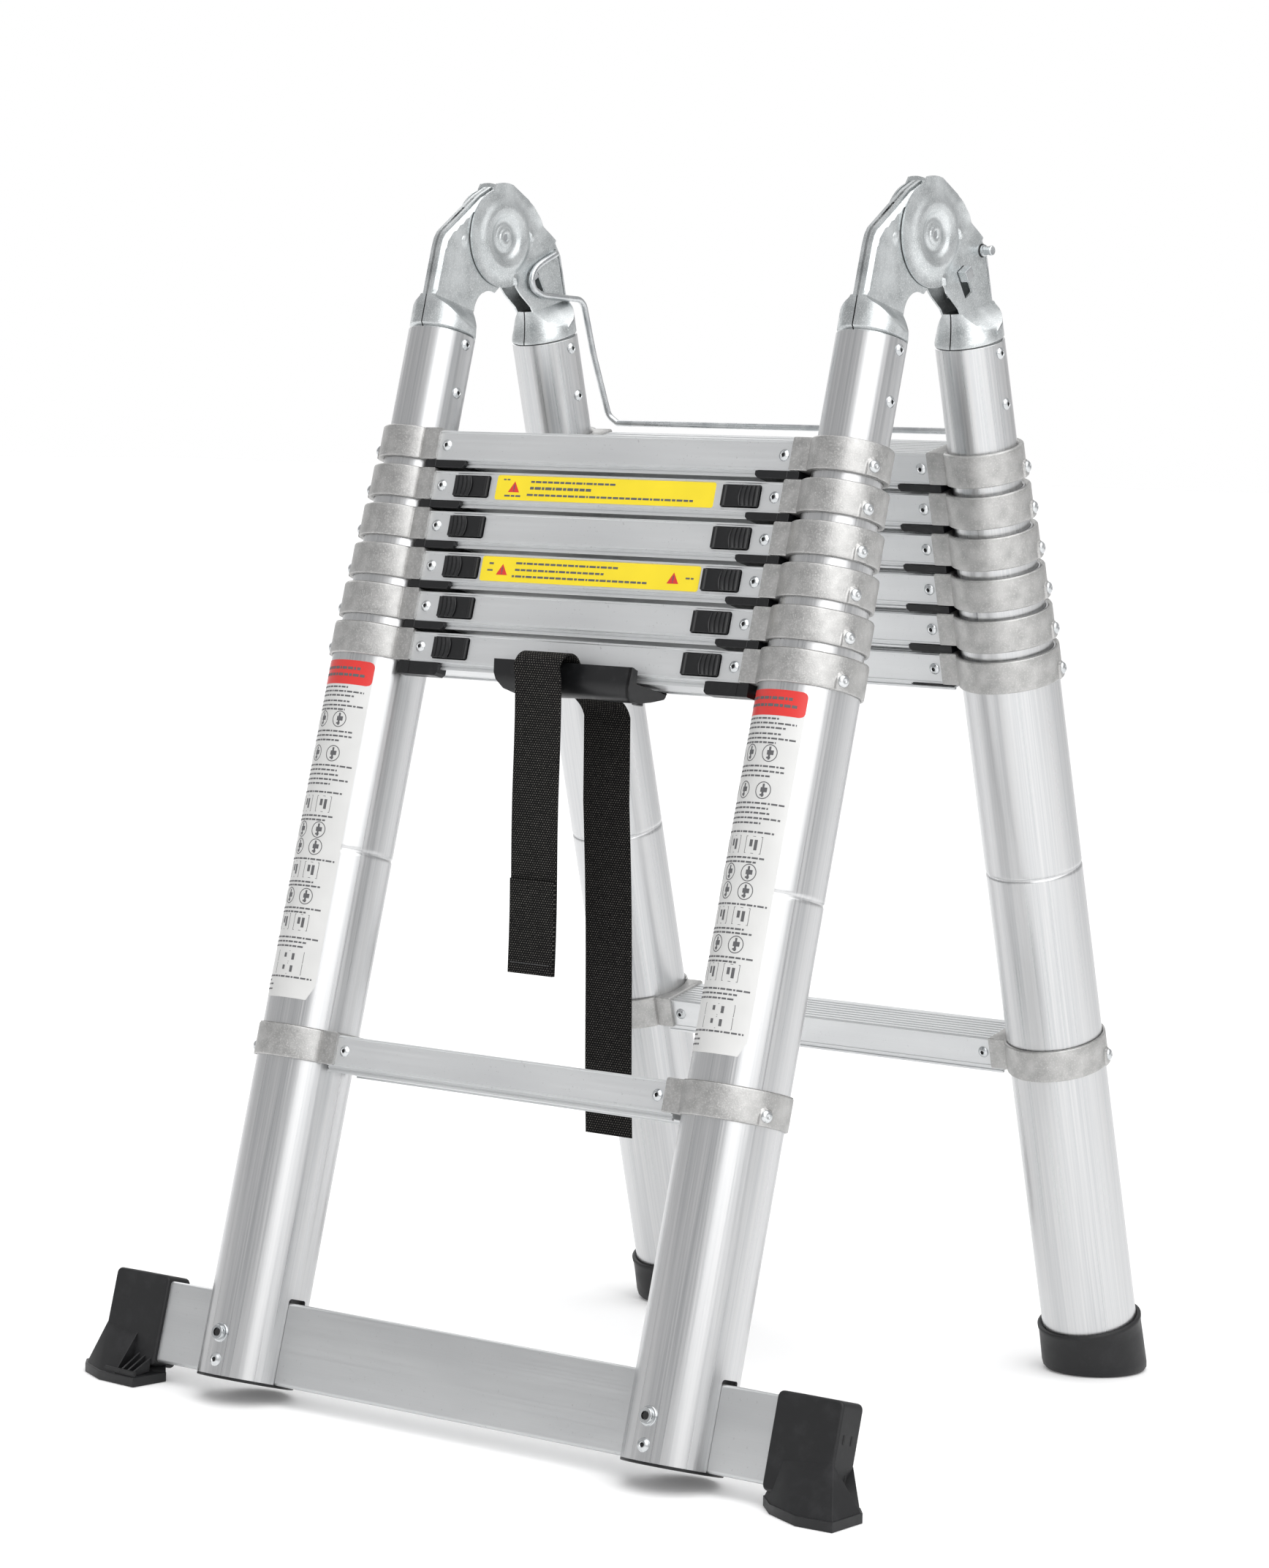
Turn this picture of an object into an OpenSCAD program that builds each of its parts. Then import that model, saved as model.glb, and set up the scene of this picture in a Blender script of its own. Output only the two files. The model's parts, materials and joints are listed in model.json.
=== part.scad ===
// Telescoping double ladder, standing as a trestle.
// Millimetres, +Z up, floor at z = 0, rungs along X, front ladder towards -Y.
// Each ladder is drawn in its own leg frame: the hinge axis is the X axis, Z runs up
// the leg and the tube axes lie at y = -pivot_offset. "drop" is a distance down the leg.

/* [Stance] */
// Lean of each ladder from upright
leg_lean = 14.7; // [12:0.1:17]
// Height of the hinge axis above the floor
pivot_height = 846.5; // [840:0.5:870]
// Distance between the hinge axis and the plane of a ladder's tube axes
pivot_offset = 39; // [38.8:0.1:44]
// Distance between the left and right tube axes
tube_spacing = 394; // [360:1:420]

/* [Stages] */
// Drop from the hinge axis to the uppermost rung
top_rung_drop = 176; // [170:1:190]
// Rung pitch when closed
closed_pitch = 30.2; // [30:0.1:34]
// Rung pitch when fully extended
open_pitch = 300; // [250:1:300]
// Radius of the outermost tube
outer_tube_r = 35.6; // [34:0.1:36]
// Drop in radius from each tube to the next one in
tube_step = 2.1; // [2.05:0.05:2.2]
// Wall of a tube
tube_wall = 1.8; // [1.2:0.1:1.8]
// Drop from the hinge axis to the top edge of the innermost tube
top_tube_drop = 87; // [85:1:90]
// Length of an inner tube below its own rung
tube_below_rung = 488; // [440:1:490]
// Drop to the lower end of a front outer tube
front_tube_end = 871.5; // [868:0.5:872]
// Drop to the lower end of a rear outer tube
rear_tube_end = 868; // [864:0.5:870]

/* [Collars] */
// Radius of the lowest collar
low_collar_r = 38; // [37:0.1:38.2]
// Radius of the uppermost collar
top_collar_r = 29.7; // [28.5:0.1:30]
// Height of a collar above the rung axis
collar_up = 13; // [12:0.1:13]
// Depth of a collar below the rung axis
collar_down = 11; // [10:0.1:11]
// Reach of a collar's ear past the tube wall
ear_reach = 10; // [8:0.5:11]
// Half depth of a collar's ear, front to back
ear_half = 21.6; // [21:0.1:22]
// Width and height of the rivet boss on a collar
boss_w = 10; // [8:0.5:12]
// Reach of the rivet boss past the collar
boss_out = 1.5; // [1:0.1:2]

/* [Rungs] */
// Front to back depth of a rung
rung_depth = 39.2; // [38:0.1:40]
// Height of a rung above its axis
rung_up = 11; // [10:0.1:11]
// Depth of a rung's face below its axis
rung_down = 11.4; // [10.5:0.1:11.4]
// Depth of the strip under a rung, below the axis
strip_down = 15.8; // [14:0.1:16]
// Wall of a rung
rung_wall = 2; // [1.4:0.1:2.2]
// Length of a spacer pad under a rung end
pad_length = 38; // [34:1:42]

/* [Latches] */
// Distance from the tube wall to the middle of a latch window
latch_inset = 46.5; // [44:0.5:50]
// Width of a latch window
window_w = 34; // [32:0.5:36]
// Height of a latch window
window_h = 16.6; // [15:0.1:17]
// Width of a thumb button
button_w = 17; // [15:0.5:18]
// Radius of a lock pin
lock_pin_r = 4; // [3:0.1:4.5]

/* [Stabiliser bar] */
// Overall length of the bar
bar_length = 662; // [620:1:700]
// Height of the bar
bar_h = 60; // [55:1:60]
// Front to back depth of the bar
bar_d = 18; // [16:0.5:20]
// Wall of the bar
bar_wall = 2; // [1.6:0.1:2.5]
// Length of the rubber cap on a bar end
foot_cap_length = 54; // [48:1:58]

/* [Hinges] */
// Half thickness of a hinge over the rear arm's plates
hinge_half = 8.6; // [8:0.1:9]
// Sheet thickness of the hinge plates
plate = 2; // [1.5:0.1:2]
// Radius of the rear arm's embossed disc
disc_r = 41; // [39:0.5:41.5]
// Radius of the front arm's plates around the pivot
cam_r = 36; // [32:0.5:36]
// Radius of the release bail's wire
bail_wire_r = 2.4; // [2:0.1:2.5]

/* [Strap] */
// Width of the webbing
strap_w = 42; // [38:1:45]
// Thickness of the webbing
strap_t = 2; // [1.5:0.1:2.2]
// Length of the strap holder
holder_length = 127; // [110:1:130]

/* [Hidden] */

$fn = 64;
left = -1;
right = 1;
stages = 6;
half_spacing = tube_spacing / 2;
lower_rung_drop = top_rung_drop + (stages - 1) * closed_pitch + open_pitch;
fit = 0.05;
slide_gap = 0.3;
reach = 120;

// Places on a stage, counted from 1 at the foot to 6 at the hinge
function rung_drop(stage) = top_rung_drop + (stages - stage) * closed_pitch;
function tube_r(stage) = outer_tube_r - (stage - 1) * tube_step;
function collar_r(stage) = low_collar_r - (stage - 1) * (low_collar_r - top_collar_r) / (stages - 1);
function latch_x(stage) = half_spacing - tube_r(stage) - latch_inset;

// Position in a y-z plane that holds a point "drop" down the leg and "out" from the tube axis
function floor_drop(out) = (pivot_height + (pivot_offset + out) * sin(leg_lean)) / cos(leg_lean);
function leg_y(drop, out) = drop * sin(leg_lean) + (pivot_offset + out) * cos(leg_lean);
function leg_z(drop, out) = pivot_height - drop * cos(leg_lean) + (pivot_offset + out) * sin(leg_lean);

// The feet decide where the middle of the footprint lies
cap_r = outer_tube_r + 3.9;
cap_top = 843;
sole_front = 31.5;
sole_t = 7;
bar_out = -1.5;
foot_y = leg_y(floor_drop(bar_out), bar_out);
foot_x = (bar_length - foot_cap_length) / 2 + 3;
front_reach = foot_y + sole_front;
rear_reach = leg_y(floor_drop(0), 0) + cap_r / cos(leg_lean);
y_shift = (front_reach - rear_reach) / 2;

// Bar
pad_down = 17;
bolt_drops = [841, 860.5];
slot_gap = 3;

// Hinge, as distances from the pivot in a leg's own frame: out from it, then up the leg
hinge_socket_r = tube_r(stages) - tube_wall - 0.15;
arm_outer = 64.3;
arm_foot = 66;
front_half = hinge_half - plate - slide_gap;
pin_place = [55.8, -24];
bolt_place = [27.5, -34.6];
bolt_turn = 17.8;
bolt_size = 8.4;
bolt_neck_r = 2.5;
spring_r = 4.2;
bolt_travel = 12;
bail_in = hinge_half + bail_wire_r + 0.8;
notch_place = [-1, -59];
notch_r = 17;
pivot_rivet_r = 5;
lock_pin_hole_r = lock_pin_r + 0.4;

module front_ladder() {
    translate([0, y_shift, pivot_height]) rotate([-leg_lean, 0, 0]) children();
}

module rear_ladder() {
    translate([0, y_shift, pivot_height]) mirror([0, 1, 0]) rotate([-leg_lean, 0, 0]) children();
}

// Draws its children about one tube axis, with +X pointing to the middle of the ladder
module at_tube(side, drop) {
    translate([side * half_spacing, -pivot_offset, -drop]) mirror([side > 0 ? 1 : 0, 0, 0]) children();
}

// Extrudes a y-z outline along X, centred
module along_x(length) {
    rotate([90, 0, 90]) translate([0, 0, -length / 2]) linear_extrude(length) children();
}

module ring(outer, inner, height) {
    difference() {
        cylinder(h = height, r = outer);
        translate([0, 0, -1]) cylinder(h = height + 2, r = inner);
    }
}

// Rectangle with true round corners
module round_rect(w, h, r) {
    translate([-w / 2 + r, -h / 2]) square([w - 2 * r, h]);
    translate([-w / 2, -h / 2 + r]) square([w, h - 2 * r]);
    for (x = [-1, 1], y = [-1, 1]) translate([x * (w / 2 - r), y * (h / 2 - r)]) circle(r = r);
}

// ---- Stiles: a pair of tubes with their cast collars ----

module lock_hole(drop) {
    translate([0, 0, -drop]) rotate([0, 90, 0]) cylinder(h = reach, r = lock_pin_hole_r);
}

module stage_tube(stage, top, bottom) {
    r = tube_r(stage);
    difference() {
        translate([0, 0, -bottom]) ring(r, r - tube_wall, bottom - top);
        if (stage < stages) lock_hole(rung_drop(stage));
        if (stage > 1) lock_hole(rung_drop(stage) + open_pitch);
        if (stage == 1) translate([0, 0, -rung_drop(1) - 156.5]) ring(r + 1, r - 0.7, 4);
    }
}

module collar(stage, drop, r, has_lock) {
    difference() {
        union() {
            translate([0, 0, -drop - collar_down]) cylinder(h = collar_up + collar_down, r = r);
            translate([0, -ear_half, -drop - collar_down])
                cube([tube_r(stage) + ear_reach, 2 * ear_half, collar_up + collar_down]);
            rotate([0, 0, 20]) translate([-r - boss_out, -boss_w / 2, -drop - collar_down])
                cube([boss_out + 3, boss_w, boss_w]);
        }
        translate([0, 0, -drop - reach / 2]) cylinder(h = reach, r = tube_r(stage) + fit);
        translate([tube_r(stage) + 2 - fit, -rung_depth / 2 - fit, -drop - collar_down - 1])
            cube([reach, rung_depth + 2 * fit, collar_down + 1 + rung_up + fit]);
        if (has_lock) lock_hole(drop);
    }
}

module stile(stage, bottom) {
    top = stage == stages ? top_tube_drop : rung_drop(stage) - collar_up + 1;
    for (side = [left, right]) at_tube(side, 0) {
        stage_tube(stage, top, bottom);
        collar(stage, rung_drop(stage), collar_r(stage), stage < stages);
    }
}

function inner_tube_end(stage) = rung_drop(stage) + tube_below_rung;

module lower_collars() {
    for (side = [left, right]) at_tube(side, 0) collar(1, lower_rung_drop, low_collar_r, false);
}

// Front outer tubes, slotted at the foot for the stabiliser bar and drilled for its bolts
module front_stile_1() {
    color("silver") front_ladder() {
        difference() {
            stile(1, front_tube_end);
            translate([0, -pivot_offset - bar_out, -front_tube_end - 1]) {
                along_x(2 * half_spacing + reach)
                    translate([-bar_d / 2 - fit, 0]) square([bar_d + 2 * fit, bar_h + 1 + slot_gap]);
            }
            bolt_holes(3.1);
        }
        lower_collars();
    }
}

module rear_stile_1() {
    color("silver") rear_ladder() {
        stile(1, rear_tube_end);
        lower_collars();
    }
}

module front_stile(stage) {
    color("gainsboro") front_ladder() stile(stage, inner_tube_end(stage));
}

module rear_stile(stage) {
    color("gainsboro") rear_ladder() stile(stage, inner_tube_end(stage));
}

// ---- Rungs: hollow extrusions with a strip below and spacer pads under the ends ----

module latch_window(stage) {
    for (side = [left, right])
        translate([side * latch_x(stage), -pivot_offset - rung_depth / 2, 0])
            cube([window_w, 2 * rung_wall + 1, window_h], center = true);
}

module rung(stage, drop, has_latches) {
    length = 2 * (half_spacing - tube_r(stage) - 2);
    pad_end = half_spacing - tube_r(stage) - 1;
    is_lower = drop == lower_rung_drop;
    strip = is_lower ? length : 2 * (pad_end - pad_length - 1);
    difference() {
        translate([0, -pivot_offset, -drop]) {
            along_x(length) translate([-rung_depth / 2, -rung_down])
                square([rung_depth, rung_up + rung_down]);
            along_x(strip) translate([-rung_depth / 2 + 2.2, -strip_down])
                square([rung_depth - 4.4, strip_down - rung_down + 1]);
        }
        translate([0, -pivot_offset, -drop]) along_x(length + 2)
            translate([-rung_depth / 2 + rung_wall, -rung_down + rung_wall])
                square([rung_depth - 2 * rung_wall, rung_up + rung_down - 2 * rung_wall]);
        if (has_latches) translate([0, 0, -drop]) latch_window(stage);
    }
    if (!is_lower) for (side = [left, right])
        translate([side * (pad_end - pad_length / 2), -pivot_offset, -drop - (rung_down + pad_down) / 2])
            cube([pad_length, rung_depth + 3, pad_down - rung_down], center = true);
}

module front_rung(stage) {
    color("lightsteelblue") front_ladder() rung(stage, rung_drop(stage), stage < stages);
}

module rear_rung(stage) {
    color("lightsteelblue") rear_ladder() rung(stage, rung_drop(stage), stage < stages);
}

module front_lower_rung() {
    color("lightsteelblue") front_ladder() rung(1, lower_rung_drop, false);
}

module rear_lower_rung() {
    color("lightsteelblue") rear_ladder() rung(1, lower_rung_drop, false);
}

// ---- Latches: thumb button, carrier and lock pin, sliding along the rung ----

module latch(stage, side) {
    depth = rung_depth / 2;
    tip = tube_r(stage + 1) + 2 * slide_gap;
    button_mid = tube_r(stage) + latch_inset - button_w / 2 + 0.5;
    at_tube(side, rung_drop(stage)) {
        translate([button_mid - button_w / 2, -depth - 1.6, -window_h / 2 + 1])
            cube([button_w, 6, window_h - 2]);
        translate([button_mid - 6, -depth + 3, -7]) cube([12, depth + 3, 14]);
        translate([tip, 0, 0]) rotate([0, 90, 0]) cylinder(h = button_mid - tip, r = lock_pin_r);
    }
}

module front_latch(stage, side) {
    color("dimgray") front_ladder() latch(stage, side);
}

module rear_latch(stage, side) {
    color("dimgray") rear_ladder() latch(stage, side);
}

// ---- Stabiliser bar and feet ----

module bolt_holes(r) {
    for (side = [left, right], drop = bolt_drops)
        translate([side * half_spacing, -pivot_offset, -drop])
            rotate([90, 0, 0]) cylinder(h = 2 * outer_tube_r + 10, r = r, center = true);
}

module bar_solid(grow, length) {
    translate([0, -pivot_offset - bar_out, -front_tube_end + bar_h / 2])
        along_x(length) round_rect(bar_d + 2 * grow, bar_h + 2 * grow, 2 + grow);
}

module stabiliser_bar() {
    color("silver") front_ladder() difference() {
        bar_solid(0, bar_length);
        bar_solid(-bar_wall, bar_length + 2);
        bolt_holes(3.1);
    }
}

// Outline of the right foot's sole seen from above, about the middle of the cap
module sole_outline() {
    polygon([[-31, -1], [-14, -17], [18, -sole_front], [47, -30], [46, 5], [37, 15], [10, 28], [-28, 30.5]]);
}

// Rubber cap on a bar end, flaring down to a flat sole; the left sole is the right one turned round
module foot(side) {
    wall = 3;
    difference() {
        union() {
            front_ladder() intersection() {
                bar_solid(wall, bar_length + 2 * wall);
                translate([side * foot_x, -pivot_offset, -front_tube_end + bar_h / 2])
                    cube([foot_cap_length, reach, reach], center = true);
            }
            hull() {
                front_ladder() translate([side * foot_x, -pivot_offset - bar_out, -front_tube_end + 6])
                    cube([foot_cap_length - 1, bar_d + 2 * wall - 0.6, 18], center = true);
                translate([side * foot_x, -foot_y + y_shift, 0]) rotate([0, 0, side < 0 ? 180 : 0])
                    linear_extrude(sole_t) sole_outline();
            }
        }
        front_ladder() bar_solid(fit, bar_length);
    }
}

module bar_feet() {
    color("dimgray") for (side = [left, right]) foot(side);
}

module bar_bolts() {
    color("gray") front_ladder()
        for (side = [left, right], i = [0, 1])
            translate([side * half_spacing, -pivot_offset, -bolt_drops[i]]) rotate([90, 0, 0]) {
                translate([0, 0, -outer_tube_r]) cylinder(h = 2 * outer_tube_r + 1, r = 3);
                translate([0, 0, outer_tube_r]) cylinder(h = i == 0 ? 4 : 2.5, r = i == 0 ? 6 : 5);
            }
}

module tube_plugs() {
    color("dimgray") front_ladder() for (side = [left, right]) at_tube(side, front_tube_end + 2)
        cylinder(h = 2, r = outer_tube_r);
}

// Rubber caps round the rear outer tubes, cut level where they stand
module rear_feet() {
    bottom = floor_drop(cap_r) + 20;
    color("dimgray") intersection() {
        rear_ladder() for (side = [left, right]) at_tube(side, 0) difference() {
            translate([0, 0, -bottom]) cylinder(h = bottom - cap_top, r = cap_r);
            translate([0, 0, -rear_tube_end]) cylinder(h = rear_tube_end, r = outer_tube_r + fit);
        }
        translate([-half_spacing - reach, 0, 0]) cube([2 * (half_spacing + reach), 4 * reach, 2 * reach]);
    }
}

// ---- Hinges: a two-plate front arm turning between the plates of the rear arm ----

// Draws its children about one end of the hinge axis, with +X to the middle of the ladder
module at_hinge(side) {
    translate([side * half_spacing, 0, 0]) mirror([side > 0 ? 1 : 0, 0, 0]) children();
}

// A pair of plates cut to an outline that is given as distances out from and up from the pivot
module plate_pair(half) {
    for (x = [-half + plate / 2, half - plate / 2])
        translate([x, 0, 0]) along_x(plate) mirror([1, 0]) children();
}

module front_arm_outline() {
    difference() {
        union() {
            circle(r = cam_r);
            polygon([
                [20.8, 31.2], [41.6, 13.6], [61.9, -20.8], [arm_outer, -32], [arm_outer, -arm_foot],
                [15, -arm_foot], [-8, -cam_r + 3]
            ]);
        }
        translate(notch_place) circle(r = notch_r);
        circle(r = pivot_rivet_r + fit);
    }
}

module rear_arm_outline() {
    difference() {
        union() {
            circle(r = disc_r);
            polygon([
                [20, 35], [34.9, 20.5], [47.6, -3.1], [59.8, -16.1], [arm_outer, -28.4],
                [arm_outer, -arm_foot], [20.6, -arm_foot], [9.5, -46.4], [-5, -disc_r + 2]
            ]);
        }
        circle(r = pivot_rivet_r + fit);
        translate(pin_place) circle(r = bail_wire_r + 0.1);
        translate(bolt_place) rotate(bolt_turn) translate([0, -bolt_travel / 2])
            square([bolt_size + 0.6, bolt_size + bolt_travel + 0.8], center = true);
    }
}

// Flanges that close the outer edge between an arm's two plates
module front_web() {
    polygon([
        [41.6, 13.6], [61.9, -20.8], [arm_outer, -32], [arm_outer, -arm_foot],
        [arm_outer - plate, -arm_foot], [arm_outer - plate, -32], [60, -21.4], [40.4, 11.6]
    ]);
}

module rear_web() {
    polygon([
        [59.8, -16.1], [arm_outer, -28.4], [arm_outer, -arm_foot], [arm_outer - plate, -arm_foot],
        [arm_outer - plate, -29], [57.9, -17]
    ]);
}

// Tapered neck and the round socket that is riveted into the innermost tube
module arm_socket(half, inner) {
    hull() {
        translate([-half, -arm_outer, -arm_foot - 1]) cube([2 * half, arm_outer - inner, 1]);
        translate([0, -pivot_offset, -top_tube_drop]) cylinder(h = 3, r = hinge_socket_r, $fn = 32);
    }
    translate([0, -pivot_offset, -top_tube_drop - 53]) cylinder(h = 53, r = hinge_socket_r);
}

module hinge_front_arms() {
    color("silver") front_ladder() for (side = [left, right]) at_hinge(side) {
        plate_pair(front_half) front_arm_outline();
        along_x(2 * front_half) mirror([1, 0]) front_web();
        arm_socket(front_half, 15);
    }
}

module hinge_rear_arms() {
    color("silver") rear_ladder() for (side = [left, right]) at_hinge(side) {
        plate_pair(hinge_half) rear_arm_outline();
        along_x(2 * hinge_half) mirror([1, 0]) rear_web();
        arm_socket(hinge_half, 20.6);
    }
}

module hinge_rivets() {
    head_t = 2.5;
    color("gray") rear_ladder() for (side = [left, right]) at_hinge(side) {
        rotate([0, 90, 0]) cylinder(h = 2 * hinge_half, r = pivot_rivet_r, center = true);
        for (x = [-hinge_half - head_t, hinge_half])
            translate([x, 0, 0]) rotate([0, 90, 0]) cylinder(h = head_t, r = 9);
    }
}

// ---- Hinge lock: bolts, springs and the wire bail that draws the bolts ----

module lock_bolts() {
    color("gray") rear_ladder() for (side = [left, right]) at_hinge(side)
        translate([0, -bolt_place[0], bolt_place[1]]) rotate([-bolt_turn, 0, 0]) {
            translate([-12, -bolt_size / 2, -bolt_size / 2])
                cube([12 + hinge_half + 0.3, bolt_size, bolt_size]);
            rotate([0, 90, 0]) cylinder(h = bail_in + bail_wire_r, r = bolt_neck_r);
        }
}

module lock_springs() {
    color("gray") rear_ladder() for (side = [left, right]) at_hinge(side)
        translate([-5, -pin_place[0], pin_place[1]]) rotate([0, 90, 0]) ring(spring_r, bail_wire_r + 0.4, 10);
}

// Straight round bar between two points, with a ball at its far end
module rod(from, to, r) {
    d = to - from;
    translate(from) rotate([0, acos(d[2] / norm(d)), atan2(d[1], d[0])])
        cylinder(h = norm(d), r = r, $fn = 20);
    translate(to) sphere(r = r + fit, $fn = 20);
}

// Bail route on one side, as points in the rear leg's frame: in from the tube axis, out from and up
// from the pivot. It starts at the pin, loops round the bolt and drops to the cross bar.
loop_r = 8;
bail_route = [
    [bail_in, 55.8, -24],
    [bail_in, 29.5, -26.9],
    for (turn = [105 : 35 : 245]) [
        bail_in, bolt_place[0] + loop_r * cos(turn), bolt_place[1] + loop_r * sin(turn)
    ],
    [bail_in, 29, -42],
    [bail_in, 72, -66],
    [bail_in, 78, -72],
    [bail_in, 87, -160],
    [bail_in + 6, 88, -166]
];

function in_frame(p) = [p[0], -p[1], p[2]];

module release_bail() {
    last = bail_route[len(bail_route) - 1];
    color("gray") rear_ladder() {
        for (side = [left, right]) at_hinge(side) {
            translate([-14, -pin_place[0], pin_place[1]]) rotate([0, 90, 0])
                cylinder(h = 14 + bail_in, r = bail_wire_r);
            translate(in_frame(bail_route[0])) sphere(r = bail_wire_r + fit, $fn = 20);
            for (i = [1 : len(bail_route) - 1])
                rod(in_frame(bail_route[i - 1]), in_frame(bail_route[i]), bail_wire_r);
        }
        translate([0, -last[1], last[2]]) rotate([0, 90, 0])
            cylinder(h = 2 * (half_spacing - last[0]), r = bail_wire_r, center = true);
    }
}

// ---- Strap and its holder under the first rung of the front ladder ----

holder_top = 334;
holder_floor = 357;
holder_wall = 3;
holder_front = 29.5;
holder_back = -14;

module holder_outline(inset) {
    corner = 20 - inset;
    half = holder_length / 2 - inset;
    bottom = -holder_floor + inset;
    intersection() {
        union() {
            translate([-half + corner, bottom]) square([2 * (half - corner), -holder_top - bottom]);
            for (side = [left, right]) translate([side * (half - corner), bottom + corner]) circle(r = corner);
        }
        translate([-half, bottom]) square([2 * half, -holder_top - bottom]);
    }
}

module strap_holder() {
    depth = holder_front - holder_back;
    strip_bottom = rung_drop(1) + strip_down;
    color("dimgray") front_ladder() {
        difference() {
            translate([0, -pivot_offset - holder_back, 0]) rotate([90, 0, 0])
                linear_extrude(depth) holder_outline(0);
            translate([0, -pivot_offset - holder_back + 1, 0]) rotate([90, 0, 0])
                linear_extrude(depth + 1 - holder_wall) {
                    holder_outline(holder_wall);
                    translate([-holder_length / 2 + holder_wall, -holder_top - 4])
                        square([holder_length - 2 * holder_wall, 10]);
                }
            translate([-holder_length / 2 - 1, -pivot_offset - rung_depth / 2 - slide_gap, -strip_bottom - slide_gap])
                cube([holder_length + 2, rung_depth + 10, strip_bottom]);
        }
        for (side = [left, right])
            translate([side * 50, -pivot_offset, -holder_floor + 1])
                cylinder(h = holder_floor - strip_bottom - 1, r = 4);
    }
}

// Direction of a route at a point, and the points of a band of one thickness along it
function unit(v) = v / norm(v);
function heading(route, i) = unit(
    (i > 0 ? unit(route[i] - route[i - 1]) : [0, 0]) +
    (i < len(route) - 1 ? unit(route[i + 1] - route[i]) : [0, 0])
);
function beside(route, i, d) = route[i] + d * [-heading(route, i)[1], heading(route, i)[0]];
function band(route, t) = concat(
    [for (i = [0 : len(route) - 1]) beside(route, i, t / 2)],
    [for (i = [len(route) - 1 : -1 : 0]) beside(route, i, -t / 2)]
);

function on_leg(drop, out) = [-leg_y(drop, out) + y_shift, leg_z(drop, out)];
lip_pass = on_leg(337, 23.2);
front_tail_y = -leg_y(holder_top, 45) + y_shift;
strap_loop_r = (lip_pass[0] - front_tail_y) / 2;
rear_tail_y = on_leg(353, -18)[0];
front_tail_end = 319;
rear_tail_end = 206;
strap_route = [
    [front_tail_y, front_tail_end],
    for (turn = [180 : -22.5 : 0]) [
        front_tail_y + strap_loop_r * (1 + cos(turn)), lip_pass[1] + strap_loop_r * sin(turn)
    ],
    on_leg(345, 23),
    on_leg(350, 17),
    on_leg(350, -12),
    [rear_tail_y, on_leg(354, -16)[1]],
    [rear_tail_y, rear_tail_end]
];
front_tail_x = [-32, 10];
rear_tail_x = [-11, 31];

// One length of webbing that hangs in front, crosses under the rung aslant and hangs behind
module strap() {
    cut_front = on_leg(350, 14)[0];
    cut_rear = on_leg(350, -9)[0];
    color("dimgray") difference() {
        translate([(front_tail_x[0] + rear_tail_x[1]) / 2, 0, 0])
            along_x(rear_tail_x[1] - front_tail_x[0]) polygon(band(strap_route, strap_t));
        translate([front_tail_x[1], cut_front - reach, 0]) cube([reach, reach, pivot_height]);
        translate([rear_tail_x[0] - reach, cut_rear, 0]) cube([reach, reach, pivot_height]);
    }
}

front_stile_1();
front_stile(2);  // front_stile_2
front_stile(3);  // front_stile_3
front_stile(4);  // front_stile_4
front_stile(5);  // front_stile_5
front_stile(6);  // front_stile_6
front_rung(1);  // front_rung_1
front_rung(2);  // front_rung_2
front_rung(3);  // front_rung_3
front_rung(4);  // front_rung_4
front_rung(5);  // front_rung_5
front_rung(6);  // front_rung_6
front_lower_rung();
front_latch(1, left);  // front_latch_left_1
front_latch(2, left);  // front_latch_left_2
front_latch(3, left);  // front_latch_left_3
front_latch(4, left);  // front_latch_left_4
front_latch(5, left);  // front_latch_left_5
front_latch(1, right);  // front_latch_right_1
front_latch(2, right);  // front_latch_right_2
front_latch(3, right);  // front_latch_right_3
front_latch(4, right);  // front_latch_right_4
front_latch(5, right);  // front_latch_right_5
rear_stile_1();
rear_stile(2);  // rear_stile_2
rear_stile(3);  // rear_stile_3
rear_stile(4);  // rear_stile_4
rear_stile(5);  // rear_stile_5
rear_stile(6);  // rear_stile_6
rear_rung(1);  // rear_rung_1
rear_rung(2);  // rear_rung_2
rear_rung(3);  // rear_rung_3
rear_rung(4);  // rear_rung_4
rear_rung(5);  // rear_rung_5
rear_rung(6);  // rear_rung_6
rear_lower_rung();
rear_latch(1, left);  // rear_latch_left_1
rear_latch(2, left);  // rear_latch_left_2
rear_latch(3, left);  // rear_latch_left_3
rear_latch(4, left);  // rear_latch_left_4
rear_latch(5, left);  // rear_latch_left_5
rear_latch(1, right);  // rear_latch_right_1
rear_latch(2, right);  // rear_latch_right_2
rear_latch(3, right);  // rear_latch_right_3
rear_latch(4, right);  // rear_latch_right_4
rear_latch(5, right);  // rear_latch_right_5
stabiliser_bar();
bar_feet();
bar_bolts();
tube_plugs();
rear_feet();
hinge_front_arms();
hinge_rear_arms();
hinge_rivets();
lock_bolts();
lock_springs();
release_bail();
strap_holder();
strap();
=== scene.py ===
import json
import math

import bmesh
import bpy
from mathutils import Matrix, Vector, geometry


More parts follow.
